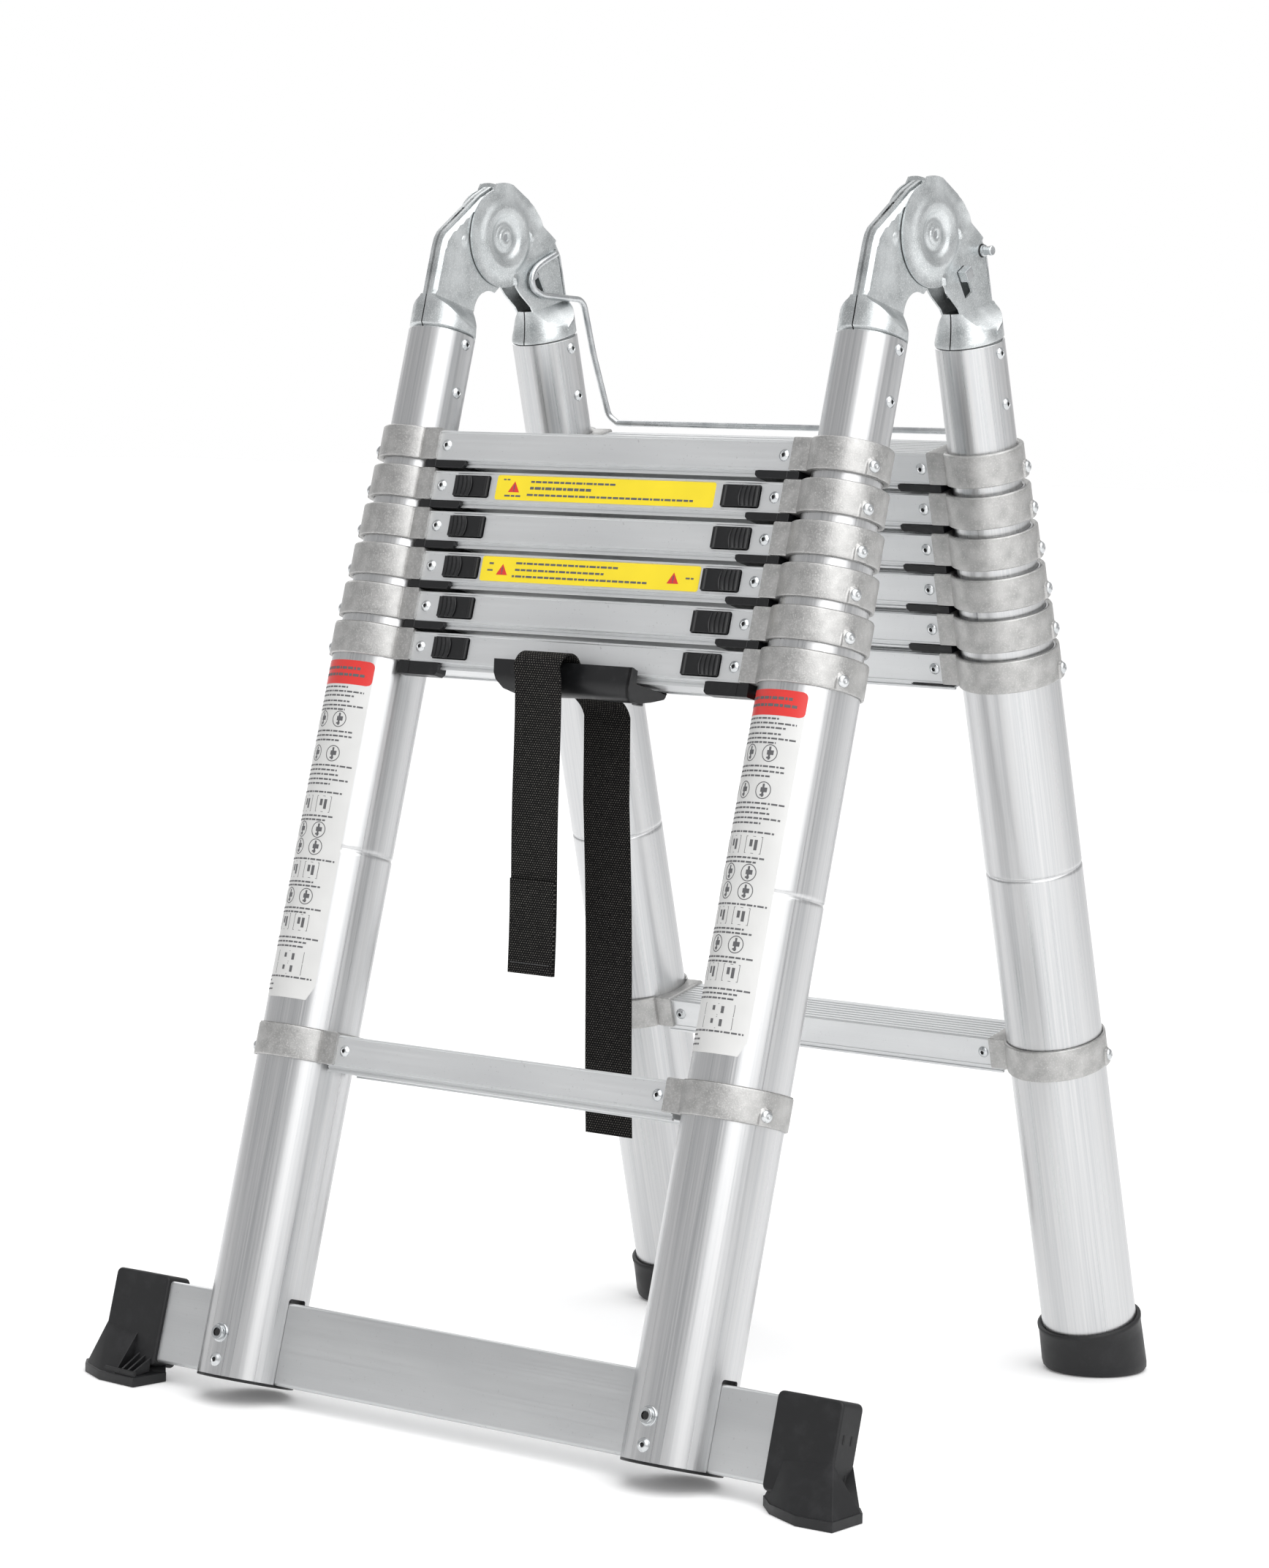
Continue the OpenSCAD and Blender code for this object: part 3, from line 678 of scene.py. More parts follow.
def collar(leg, side, stage, drop, name):
    s = SIDES[leg][side]
    shape, turn = COLLAR_SHAPES[stage], BOSS_TURN
    if s > 0:
        shape, turn = mirrored(shape), math.pi - turn
    place, body = at(leg, s * HALF_SPACING, 0, drop), body_at(leg, stage)
    make(name, body, shape, CAST, place, smooth=42)
    out = Vector((math.cos(turn), math.sin(turn), 0))
    boss = out * (collar_r(stage) + BOSS_RISE) + Vector((0, 0, BOSS_Z))
    make(name + "_rivet", body, placed(dome_rivet(), [(boss, out)]), ZINC, place, smooth=40)


# ---- Rungs ----

FACE_RECESS = 0.6
RIB_PITCH = 4.4
RIB_DEPTH = 0.9
RIVET_INSET = 17.45


def rung_outline():
    """Section of a rung as (front-back, up): ribbed tread, framed faces and the strip below."""
    half = RUNG_HALF
    side = [
        (half - 0.5, RUNG_UP), (half, RUNG_UP - 0.5), (half, 9.7), (half - FACE_RECESS, 9.3),
        (half - FACE_RECESS, -9.6), (half, -10.0), (half, -RUNG_DOWN + 0.3), (half - 0.4, -RUNG_DOWN),
        (half - 2.4, -RUNG_DOWN), (half - 2.4, -13.0), (half - 3.2, -13.3), (half - 3.2, -14.0),
        (half - 2.2, -14.3), (half - 2.2, -STRIP_DOWN), (half - 4.5, -STRIP_DOWN), (half - 4.5, -14.6),
        (half - 8, -14.6),
    ]
    tread = []
    for i in range(-4, 4):
        y = (i + 0.5) * RIB_PITCH
        tread += [(y - 1.5, RUNG_UP - RIB_DEPTH), (y - 1.1, RUNG_UP), (y + 1.1, RUNG_UP),
                  (y + 1.5, RUNG_UP - RIB_DEPTH)]
    return tread + side + [(-y, z) for y, z in reversed(side)]


def latch_x(stage):
    return HALF_SPACING - tube_r(stage) - LATCH_INSET


def rung(leg, stage, drop, name, windows):
    reach = HALF_SPACING - tube_r(stage) - 3
    place, body = at(leg, 0, 0, drop), body_at(leg, stage)
    obj = make(name, body, prism(rung_outline(), -reach, reach, "x"), RUNG, place, smooth=25)
    if windows:
        opening = prism(round_rect(*WINDOW, 2.0, 3), -RUNG_HALF - 5, -RUNG_HALF + 9, "y")
        lining = prism(round_rect(WINDOW[0] + 0.3, WINDOW[1] + 0.3, 2.1, 3),
                       -RUNG_HALF + 6.5, -RUNG_HALF + 9.5, "y")
        ends = (("a", -latch_x(stage)), ("b", latch_x(stage)))
        carve(obj, joined(*[shifted(opening, x=x) for _, x in ends]), 25)
        for end, x in ends:
            make(f"{name}_well_{end}", body, shifted(lining, x=x), PLASTIC, place)
    x, face = HALF_SPACING - tube_r(stage) - RIVET_INSET, RUNG_HALF - FACE_RECESS
    rivets(name + "_rivets", body, place,
           [((s * x, t * face, 0), (0, t, 0)) for s in (-1, 1) for t in (-1, 1)])
    return obj


def pads(leg, stage):
    """Black spacers under the two ends of a stage rung; the lowest pair is deeper along its outer edge."""
    start = HALF_SPACING - tube_r(stage) - 1
    end = start - PAD_LENGTH
    half = RUNG_HALF + 1.3
    spans = [(-half, half, PAD_DOWN)]
    if stage == 1:
        spans = [(-half, -half + 10, LOWEST_PAD_DOWN), (-half + 10, half, RUNG_DOWN + 1.2)]
    shapes = []
    for s in (-1, 1):
        for near, far, down in spans:
            step = min(2.2, (down - RUNG_DOWN) / 2)
            outline = [(s * start, -RUNG_DOWN), (s * start, -down), (s * (end + 2.5), -down),
                       (s * end, -down + step), (s * end, -RUNG_DOWN - 0.4), (s * (end + 3), -RUNG_DOWN)]
            shapes.append(prism(outline, near, far, "y"))
        near, far, down = spans[0]
        seam = s * (start - 9.5)
        shapes.append(block(sorted((seam, seam - s * 0.9)), (near - 0.35, far), (-down + 0.5, -RUNG_DOWN)))
    make(f"{leg}_pads_{stage}", body_at(leg, stage), joined(*shapes), PLASTIC,
         at(leg, 0, 0, rung_drop(stage)), bevel=0.5)


# ---- Latches ----

BUTTON_HALF = (WINDOW[0] / 2 - 0.9, WINDOW[1] / 2 - 0.8)
LATCH_FACE = -RUNG_HALF + FACE_RECESS
TEETH = 4
TOOTH_PITCH = 3.6


def bezel_shape():
    """Fixed plate in a window, with a lip at the end that the button slides towards (-X)."""
    half_w, half_h = BUTTON_HALF
    outline = [(-half_w, 3.5), (-half_w, -1.7), (-half_w + 0.5, -2.4), (-half_w + 1.4, -2.7),
               (-half_w + 2.6, -2.4), (-half_w + 3.6, -1.3), (half_w, -1.3), (half_w, 3.5)]
    return prism([(x, LATCH_FACE + y) for x, y in outline], -half_h, half_h)


def button_shape():
    """Thumb button with bowed ribs, in its window's frame: +X away from the rung's middle, -Y outwards."""
    half_w, half_h = BUTTON_HALF
    under, first = LATCH_FACE - 1.5, 1.0
    rows = []
    for j in range(9):
        z = (half_h - 0.1) * (j / 4 - 1)
        bow = 2.2 * (1 - (z / half_h) ** 2)
        row = [(first - bow, 0), (first - bow, 0.6), (first - bow + 0.5, 1.3)]
        for i in range(TEETH):
            start = first + i * TOOTH_PITCH - bow * (1 - i / TEETH) * 0.8
            row += [(start + 0.9, 0.6), (start + TOOTH_PITCH - 0.7, 1.7), (start + TOOTH_PITCH - 0.25, 1.5)]
        row += [(half_w - 0.2, 0.5), (half_w - 0.2, 0)]
        rows.append([(x, under - rise, z) for x, rise in row])
    stem = block((2, 12), (under - 0.3, -RUNG_HALF + 6), (-3, 3))
    return joined(skin(rows), stem)


BEZEL = bezel_shape()
BUTTON = button_shape()
CARRIER = block((-8, 6), (-RUNG_HALF + 5, RUNG_HALF - 4), (-6.5, 6.5))


def latch(leg, side, stage):
    s = SIDES[leg][side]
    name = f"{leg}_latch_{side}_{stage}"
    place = at(leg, s * latch_x(stage), 0, rung_drop(stage))
    tip = LATCH_INSET + tube_r(stage) - tube_r(stage + 1) - 0.6
    pin = turned([(3.2, 0), (4.0, 1.2), (4.0, tip), (3.8, tip + 1)], 24)
    pin = shifted(moved(pin, Matrix.Rotation(-math.pi / 2, 4, "Y")), x=tip)
    for part, body, shape, look, smooth, bevel in (
            ("bezel", body_at(leg, stage), BEZEL, PLASTIC, 30, 0.35),
            ("button", name, BUTTON, PLASTIC, 30, 0.3),
            ("carrier", name, CARRIER, PLASTIC, 35, 0.5), ("lock_pin", name, pin, ZINC, 35, None)):
        shape = shape if s > 0 else mirrored(shape)
        obj = make(f"{leg}_{part}_{side}_{stage}", body, shape, look, place, smooth, bevel)
        if part == "button":
            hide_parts(name)


# ---- Stiles and rungs of both ladders ----

SOCKET_RIVET_DROPS = (94.5, 131.5)


def ladder(leg):
    for stage in range(1, STAGES + 1):
        drop = rung_drop(stage)
        for side in SIDES[leg]:
            tube(leg, side, stage)
            collar(leg, side, stage, drop, f"{leg}_collar_{side}_{stage}")
            if stage == 1:
                collar(leg, side, 1, LOWER_DROP, f"{leg}_lower_collar_{side}")
        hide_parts(f"{leg}_stile_{stage}")
        main = rung(leg, stage, drop, f"{leg}_step_{stage}", windows=stage < STAGES)
        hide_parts(f"{leg}_rung_{stage}")
        pads(leg, stage)
        if stage < STAGES:
            for side in SIDES[leg]:
                latch(leg, side, stage)
    lower = rung(leg, 1, LOWER_DROP, f"{leg}_lower_step", windows=False)
    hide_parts(f"{leg}_lower_rung")
    r = tube_r(STAGES)
    spots = [((s * HALF_SPACING + t * r, -OFFSET, -drop), (t, 0, 0))
             for s in (-1, 1) for t in (-1, 1) for drop in SOCKET_RIVET_DROPS]
    rivets(f"{leg}_socket_rivets", body_at(leg, STAGES), LEG[leg], spots)


ladder("front")
ladder("rear")


# ---- Stabiliser bar and feet ----

BAR_BOLT = -841.0
BAR_RIVET = -860.5
BAR_RIVET_HEAD = 5.0


def stabiliser():
    outline = round_rect(BAR[2], BAR[1], 2.6, 5)
    obj = make("stabiliser_tube", "front_base", prism(outline, -BAR[0] / 2, BAR[0] / 2, "x"), BAR_SKIN,
               at("front", 0, BAR_OUT, FRONT_END - BAR[1] / 2), smooth=30)
    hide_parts("stabiliser_bar")
    r, end = OUTER_TUBE_R, -FRONT_END
    plug = turned([(r - 0.6, end - 1.9), (r - 0.1, end - 1.4), (r - 0.1, end), (r - 2.5, end)], 72)
    plugs = joined(*[shifted(plug, x=s * HALF_SPACING) for s in (-1, 1)])
    made = make("tube_end_plugs", "front_base", plugs, PLASTIC, at("front"), smooth=40)
    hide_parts("tube_plugs")


def bar_fasteners():
    flange = turned([(6.9, -0.8), (7.0, 0.5), (6.6, 1.0), (5.6, 1.2), (5.4, 3.6), (5.0, 4.1), (3.2, 4.1),
                     (3.1, 1.4)], 36)
    hexagon = skin([ring_of(2.9, h, 6) for h in (1.2, 3.4)])
    nut = skin([ring_of(r, h, 6) for r, h in ((5.2, -0.8), (5.4, 0), (5.4, 0.7), (5.0, 1.0))])
    bolts, hole_shades, nuts = [], [], []
    for s in (-1, 1):
        bolt_at, rivet_at = (facing((s * HALF_SPACING, -OUTER_TUBE_R, z), (0, -1, 0))
                             for z in (BAR_BOLT, BAR_RIVET))
        bolts += [moved(flange, bolt_at), moved(pop_rivet(BAR_RIVET_HEAD), rivet_at)]
        # Dark hexagons in the bolt heads' sockets and dark discs in the rivets are painted shade of their
        # hollows
        hole_shades += [moved(hexagon, bolt_at), moved(rivet_hole_shade(BAR_RIVET_HEAD), rivet_at)]
        nuts.append(moved(nut, facing((s * HALF_SPACING, OUTER_TUBE_R, BAR_BOLT), (0, 1, 0))))
    obj = make("bar_bolt_heads", "front_base", joined(*bolts, *nuts), ZINC, at("front"), smooth=35)
    make("bar_bolt_sockets", "front_base", joined(*hole_shades), HOLE, at("front"))
    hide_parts("bar_bolts")


# The sole's outline from above, the flares' feet on it and the slots in the cap's outer end
SOLE = [(-31, -1), (-14, -17), (18, -31.5), (47, -30), (46, 5), (37, 15), (10, 28), (-28, 30.5)]
BACK_SLOPE = [(45, 4), (36.5, 14), (10, 27), (-6, 28.6)]
LEDGE = [(6, 26), (-27, 28.6), (6, 23.5), (-27, 26)]
FOOT_RIBS = (-11, -17, -23)
FOOT_SLOTS = [(-5, 52), (4, 52), (-5, 26), (4, 26)]
SOLE_T = 7.0


def foot(side):
    """Rubber cap on a bar end with its flared sole, in the foot's own frame on the floor."""
    s = -1 if side == "left" else 1
    drop = (PIVOT_H + (OFFSET + BAR_OUT) * math.sin(LEAN)) / math.cos(LEAN)
    ground = at("front", s * (BAR[0] / 2 - FOOT_CAP / 2 + 3), BAR_OUT, drop).translation
    turn = Matrix.Rotation(math.pi if s < 0 else 0.0, 4, "Z")
    place = Matrix.Translation((ground.x, ground.y, 0)) @ turn
    # The bar's section leans, so the cap is drawn in a frame that leans with it
    leaning = Matrix.Rotation(-LEAN if s > 0 else LEAN, 4, "X")
    height, depth = BAR[1] + 7, BAR[2] + 6.4
    half_d, edge, sunk = depth / 2 - 0.4, FOOT_CAP / 2 - 0.5, SOLE_T - 1

    def on_cap(px, py, pz):
        return leaning @ Vector((px, py, pz))

    outline = round_rect(FOOT_CAP, height, 4.5, 5)
    cap = shifted(prism(outline, -depth / 2, depth / 2, "y"), z=drop - FRONT_END + BAR[1] / 2)
    obj = make(f"{side}_foot_cap", "front_base", moved(cap, leaning), RUBBER, place, bevel=2.2, smooth=40)
    obj.modifiers["edges"].segments = 4
    # Front flare: a smooth wedge from the cap's face down to the sole's edge
    front = [Vector((px * 0.985, py * 0.97, sunk)) for px, py in SOLE[:5]]
    front += [on_cap(px, -half_d, pz) for px, pz in ((-13, 33), (edge, 36))]
    front += [on_cap(px, half_d * 0.5, 8) for px in (-20, edge)]
    front += [Vector((edge, 10, sunk)), Vector((-24, 4, sunk))]
    # Back flare: half the width slopes down, the other half is open between ribs
    back = [Vector((px, py, sunk)) for px, py in BACK_SLOPE]
    back += [on_cap(px, half_d, pz) for px, pz in ((-6, 33), (edge, 36))]
    back += [on_cap(px, -half_d * 0.5, 8) for px in (-6, edge)]
    ledge = [Vector((px, py, pz)) for px, py in LEDGE for pz in (sunk, SOLE_T + 4)]
    ribs = []
    for px in FOOT_RIBS:
        corners = [on_cap(px, half_d - 0.5, 21 + 0.2 * px), on_cap(px, half_d - 0.5, 5),
                   Vector((px, 27.5, sunk)), Vector((px, 27.5, SOLE_T + 2.5))]
        ribs.append(hull([c + Vector((dx, 0, 0)) for c in corners for dx in (-0.9, 0.9)]))
    sole = joined(prism(SOLE, 0, SOLE_T), hull(front), hull(back), hull(ledge), *ribs)
    made = make(f"{side}_foot_sole", "front_base", sole, RUBBER, place, bevel=0.6, smooth=28)
    # The slots are not cut: a thin dark block on the cap's end paints the shade in each one
    slot = block((-0.6, 0.25), (-0.9, 0.9), (-3.2, 3.2))
    slot_shades = [moved(slot, Matrix.Translation(on_cap(FOOT_CAP / 2, py, pz)) @ leaning) for py, pz in FOOT_SLOTS]
    make(f"{side}_foot_slot_shades", "front_base", joined(*slot_shades), HOLE, place)
    if side == "left":
        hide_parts("bar_feet")


# A rubber cap's stations as (radius, height): under its top rim first, then above the floor
CAP_RIM = [
    (OUTER_TUBE_R - 0.2, -4), (OUTER_TUBE_R + 0.2, -0.8), (OUTER_TUBE_R + 1.0, 0), (CAP_R - 0.9, 0),
    (CAP_R - 0.15, -0.8), (CAP_R - 0.3, -3.2), (CAP_R - 0.8, -4), (CAP_R - 0.7, -12),
]
CAP_FOOT = [(CAP_R - 0.2, 7.0), (CAP_R - 0.7, 3.0), (CAP_R - 2.4, 0.8), (CAP_R - 4.6, 0.0),
            (CAP_R * 0.5, 0.0), (2.0, 0.0)]


def rear_caps():
    """Rubber cap round each rear tube, cut level on the floor with a soft lower edge."""
    rings = [ring_of(r, -CAP_TOP + rise, 80) for r, rise in CAP_RIM]
    for r, rise in CAP_FOOT:
        rings.append([(x, y, floor_z(y - OFFSET) + rise / math.cos(LEAN)) for x, y, _ in ring_of(r, 0, 80)])
    caps = [shifted(skin(rings), x=s * HALF_SPACING) for s in (-1, 1)]
    obj = make("rear_tube_caps", "rear_base", joined(*caps), RUBBER, at("rear"), smooth=50)
    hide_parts("rear_feet")


stabiliser()
bar_fasteners()
foot("left")
foot("right")
rear_caps()


# ---- Hinges ----

FAR = 1e9
PLATE_SKIN = PLATE * 0.8
# The disc's embossing as (radius, level), and the radii that its points stand on
DISC_LEVELS = [(0.0, 0.2), (2.2, 0.4), (3.2, 2.0), (5.6, 2.2), (7.2, 1.0), (8.4, 0.8), (10.5, -0.3),
               (12.0, -0.4), (18.5, 3.0), (22.5, 3.5), (31.5, 0.3), (33.5, 0.0), (90.0, 0.0)]
DISC_RINGS = [35.5, 34, 32.5, 31, 29.5, 28, 26.5, 25, 23.5, 22, 20.5, 19, 17.5, 16, 14.5, 13, 11.8, 10.6,
              9.6, 8.6, 7.7, 7.0, 6.2, 4.8, 3.7, 3.0, 2.4, 1.4]
DISC_COLUMNS = 96
# Outlines are given as distances out from the pivot and up the leg, seen with outwards to the right
PLATE_FOOT = -62.5
REAR_EDGE = [(20, 35.8), (34.9, 21.3), (47.6, -2.4), (53.5, -8.6), (59.8, -15.6), (ARM_OUTER, -28.4),
             (ARM_OUTER, PLATE_FOOT)]
FRONT_EDGE = [(19.6, 33.6), (31, 23.6), (61.6, -13.5), (63.6, -19), (ARM_OUTER, -26), (ARM_OUTER, PLATE_FOOT)]
# Dimples as (out, up, half length, half width, turn, height)
REAR_DIMPLES = [
    (30.4, -6, 2.3, 5.2, 0.1, 1.9), (4.8, -34.4, 2.4, 5.0, -0.1, 1.9), (41, -17, 1.6, 2.2, 0.4, 0.5),
    (52, -31, 1.6, 2.2, 0.4, 0.5),
    # A ridge along the slanting edge clears the front plate's dimple when the ladder is straight
    (39.9, 8.7, 13.0, 4.4, math.radians(-61.8), 1.7),
]
FRONT_DIMPLE = (40.2, -13.4, 3.2, 4.4, 0.0, 1.5)


def distance_to(path, p):
    """Shortest distance from a point to an open path."""
    best = FAR
    for a, b in zip(path, path[1:]):
        a, b = Vector(a), Vector(b)
        t = min(max((p - a).dot(b - a) / (b - a).length_squared, 0.0), 1.0)
        best = min(best, (p - a - t * (b - a)).length)
    return best


def refined(outline, step):
    """A closed outline with points no further apart than step."""
    points = []
    for a, b in zip(outline, outline[1:] + outline[:1]):
        a, b = Vector(a), Vector(b)
        count = max(1, round((b - a).length / step))
        points += [a.lerp(b, i / count) for i in range(count)]
    return points


def inside(outline, p):
    hit = False
    for a, b in zip(outline, outline[1:] + outline[:1]):
        if (a[1] > p[1]) != (b[1] > p[1]) and p[0] < (b[0] - a[0]) * (p[1] - a[1]) / (b[1] - a[1]) + a[0]:
            hit = not hit
    return hit


def relief(outline, surface_at, edge, edge_offsets, step, disc=(), holes=()):
    """A pressed plate: surface_at(a, b) gives its outer face's distance from the arm's middle plane.

    Its points lie in rows along the edge, in rings round the pivot (disc gives their radii) and on a grid."""
    border = refined(outline, step)
    points = [Vector(p) for p in border]
    edges = [(i, (i + 1) % len(border)) for i in range(len(border))]
    for hole in holes:
        start = len(points)
        points += [Vector(p) for p in hole]
        edges += [(start + i, start + (i + 1) % len(hole)) for i in range(len(hole))]

    def usable(p, gap):
        if not inside(outline, p) or distance_to(border + border[:1], p) < gap:
            return False
        return all(not inside(h, p) and distance_to(h + h[:1], p) > gap for h in holes)

    kept = []
    for r in disc:
        around = max(8, round(DISC_COLUMNS * min(1.0, r / disc[0] + 0.35)))
        ring = [Vector((x, y)) for x, y, _ in ring_of(r, 0, around)]
        kept += [p for p in ring if usable(p, 0.25)]
    for offset in edge_offsets:
        for a, b in zip(edge, edge[1:]):
            a, b = Vector(a), Vector(b)
            out = Vector((b.y - a.y, a.x - b.x)).normalized()
            count = max(2, round((b - a).length / 1.8))
            row = [a.lerp(b, i / count) - out * offset for i in range(count + 1)]
            kept += [p for p in row if usable(p, 0.1)]
    low, high = ([pick(p[i] for p in border) for i in (0, 1)] for pick in (min, max))
    for i in range(int((high[0] - low[0]) / step) + 1):
        for j in range(int((high[1] - low[1]) / step) + 1):
            p = Vector((low[0] + (i + 0.5 * (j % 2)) * step, low[1] + j * step))
            clear = not disc or p.length >= disc[0] + step * 0.5
            if clear and usable(p, step * 0.45) and distance_to(edge, p) >= max(edge_offsets) + step * 0.4:
                kept.append(p)
    flat, _, triangles, *_ = geometry.delaunay_2d_cdt(points + kept, edges, [], 0, 1e-4)
    good = []
    for face in triangles:
        middle = sum((flat[i] for i in face), Vector((0, 0))) / len(face)
        if inside(outline, middle) and all(not inside(h, middle) for h in holes):
            good.append(list(face))
    n = len(flat)
    sides = [[(surface_at(p.x, p.y) - depth, -p.x, p.y) for p in flat] for depth in (0, PLATE_SKIN)]
    faces = good + [[i + n for i in reversed(f)] for f in good]
    walked = {(i, j): True for f in good for i, j in zip(f, f[1:] + f[:1])}
    faces += [[j, i, i + n, j + n] for i, j in walked if (j, i) not in walked]
    return sides[0] + sides[1], faces


def dimple(a, b, out, up, half_a, half_b, turn, height):
    """An oval dimple's height at a place."""
    u = (a - out) * math.cos(turn) + (b - up) * math.sin(turn)
    v = -(a - out) * math.sin(turn) + (b - up) * math.cos(turn)
    return height * (1 - smooth_step(0.55, 1.05, math.hypot(u / half_a, v / half_b)))


def rear_outline():
    """Clockwise from the top of the outer edge, round the foot of the plate and back round the disc."""
    disc = arc(0, 0, DISC_R, 63, 88, 8) + arc(0, 0, RIM_R, 94, 276.3, 60)
    return REAR_EDGE + [(20.6, PLATE_FOOT), (19.0, -58.0), (9.5, -46.4)] + disc[::-1]


def front_outline():
    """Anticlockwise from the apex round the disc, the arch over the leg and up the outer edge."""
    disc = arc(0, 0, RIM_R - 0.4, 70, 258, 44)
    arch = arc(-1.0, -59.0, 17.0, 98, 0, 18) + [(16, PLATE_FOOT)]
    return FRONT_EDGE[:1] + disc + arch + FRONT_EDGE[:0:-1]


def rear_surface(a, b):
    x = HINGE_HALF["rear"] + level(DISC_LEVELS, math.hypot(a, b))
    x += sum(dimple(a, b, *d) for d in REAR_DIMPLES)
    roll = 1 - smooth_step(0.0, 4.5, distance_to(REAR_EDGE, Vector((a, b))))
    return x - (0.4 + 7.6 * smooth_step(15, 23, -b)) * roll ** 1.6


def front_surface(a, b):
    d = distance_to(FRONT_EDGE, Vector((a, b)))
    fall = 0.6 * (1 - smooth_step(0.45, 1.4, d)) + 5.2 * (1 - smooth_step(0.0, 0.45, d))
    return HINGE_HALF["front"] + dimple(a, b, *FRONT_DIMPLE) - fall


NECK_HEIGHTS = [-62.0, -64, -66, -68, -70, -72, -74, -76, -78, -80, -82, -84, -85, -86.5, -92, -120, -138]
NECK_INNER = {"front": 23.0, "rear": 19.4}
NECK_SKIN = 1.8
HALF_SEAM = 0.55


def neck_line(widths, limit):
    """Half of a neck's section as (out, across): an arc, a flat side no further out than limit, an arc."""
    arcs = []
    for sign, w in zip((1, -1), widths):
        start, stop = (math.asin(min(reach / w, 1.0)) for reach in (HALF_SEAM, min(limit, w)))
        turns = [start + (stop - start) * i / 10 for i in range(11)]
        arcs.append([(w * math.cos(v) * sign, w * math.sin(v)) for v in turns])
    first, last = arcs[0], arcs[1][::-1]
    flat = [tuple(p + (q - p) * i / 6 for p, q in zip(first[-1], last[0])) for i in range(1, 6)]
    return first + flat + last


def half_neck(leg):
    """One pressing's lower end: a flare from the plate into a round socket, open at the seam."""
    r = tube_r(STAGES)
    socket = r - TUBE_WALL - 0.3
    rows = []
    for b in NECK_HEIGHTS:
        t = smooth_step(-62, -84, b)
        widths = [w * (1 - t) + r * t for w in (ARM_OUTER - OFFSET, NECK_INNER[leg])]
        if b < -86:
            widths = [socket, socket]
        limit = HINGE_HALF[leg] + max(0.0, -63.0 - b) * 1.15
        ring = neck_line(widths, limit) + neck_line([w - NECK_SKIN for w in widths], limit - NECK_SKIN)[::-1]
        skew = 5.0 * math.sin(math.pi * smooth_step(62, 90, -b))
        rows.append([(x, -(OFFSET + a), b + skew * a / 25) for a, x in ring])
    return skin(rows)


SLOT_PLAY = 1.6
SLOT_TRAVEL = 13.5
SLOT_BELOW = 6.2


def slot_outline():
    """The slot that the lock bolt slides in, as a turned rectangle with small corners."""
    c, s = math.cos(BOLT_TURN), math.sin(BOLT_TURN)
    outline = round_rect(BOLT_SIZE + SLOT_PLAY, BOLT_SIZE + SLOT_TRAVEL, 1.0, 2)
    corners = [(x, y - SLOT_BELOW) for x, y in outline]
    return [(BOLT[0] + c * x - s * y, BOLT[1] + s * x + c * y) for x, y in corners]


FLANGE_TOP = -14


def hinge_place(leg, side):
    return LEG[leg] @ Matrix.Translation((SIDES[leg][side] * HALF_SPACING * MM, 0, 0))


def hinge_arm(leg, side):
    if leg == "rear":
        holes = [slot_outline(), arc(*PIN, WIRE_R + 0.2, 0, 345, 23)]
        plate = relief(rear_outline(), rear_surface, REAR_EDGE, (0.4, 1.0, 1.8, 2.8, 4.0), 2.0,
                       DISC_RINGS, holes)
        # Above this the rear plate has no flange, so that the front plates can pass
        web = [p for p in REAR_EDGE if p[1] < FLANGE_TOP]
    else:
        plate = relief(front_outline(), front_surface, FRONT_EDGE, (0.45, 0.9, 1.4, 2.4, 3.6), 2.2)
        web = FRONT_EDGE
    half = joined(plate, half_neck(leg))
    place, body = hinge_place(leg, side), body_at(leg, STAGES)
    obj = make(f"{leg}_hinge_arm_{side}", body, joined(half, mirrored(half)), STEEL, place, smooth=34)
    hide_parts(f"hinge_{leg}_arms")
    strip = web + [(a - 1.6, b - 0.6) for a, b in reversed(web)]
    flange = prism([(-a, b) for a, b in strip], 0.35, HINGE_HALF[leg] - 2.5, "x")
    make(f"{leg}_hinge_flange_{side}", body, joined(flange, mirrored(flange)), STEEL, place, smooth=34)


BOLT_NECK = 9.0
SPRING_R = 4.1
SPRING_TURNS = 5


def lock_parts(side):
    """A hinge's pivot rivet, its square lock bolt in the slot and the bolt's torsion spring."""
    inner = -SIDES["rear"][side]
    pivot = moved(turned([(4.9, -9.5), (4.9, 9.5)], 40), Matrix.Rotation(math.pi / 2, 4, "Y"))
    c, s = math.cos(BOLT_TURN), math.sin(BOLT_TURN)
    in_slot = Matrix(((1, 0, 0, 0), (0, c, s, -BOLT[0]), (0, -s, c, BOLT[1]), (0, 0, 0, 1)))
    across = (-BOLT_SIZE / 2, BOLT_SIZE / 2)
    bar = block(sorted((-inner * BOLT_REACH, inner * BOLT_NECK)), across, across)
    neck = turned([(2.4, 0), (2.4, BOLT_NECK - 0.4), (2.0, BOLT_NECK)], 24)
    bolt = moved(joined(bar, moved(neck, facing((0, 0, 0), (inner, 0, 0)))), in_slot)
    steps = SPRING_TURNS * 20
    coil = []
    for i in range(steps + 1):
        t = 2 * math.pi * i / 20
        coil.append((-5.0 + 10.0 * i / steps, -PIN[0] + SPRING_R * math.cos(t),
                     PIN[1] + SPRING_R * math.sin(t)))
    for name, body, shape, node, bevel in (
            ("pivot_rivet", "rear_stage_6", pivot, "hinge_rivets", None),
            ("lock_bolt", "lock_bolts", bolt, "lock_bolts", 0.25),
            ("lock_spring", "rear_stage_6", sweep(coil, 0.8, 8), "lock_springs", None)):
        obj = make(f"{name}_{side}", body, shape, ZINC, hinge_place("rear", side), bevel=bevel)
        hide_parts(node)


# One side of the release wire as (out, up), from its pin round the bolt and down
WIRE_SIDE = [PIN, (36.0, -27.0), (26.5, -29.6), (20.0, -36.0), (20.6, -44.0), (29.5, -51.3), (72.8, -64.6),
             (77.0, -70.0), (79.5, -109.0), (87, -160)]


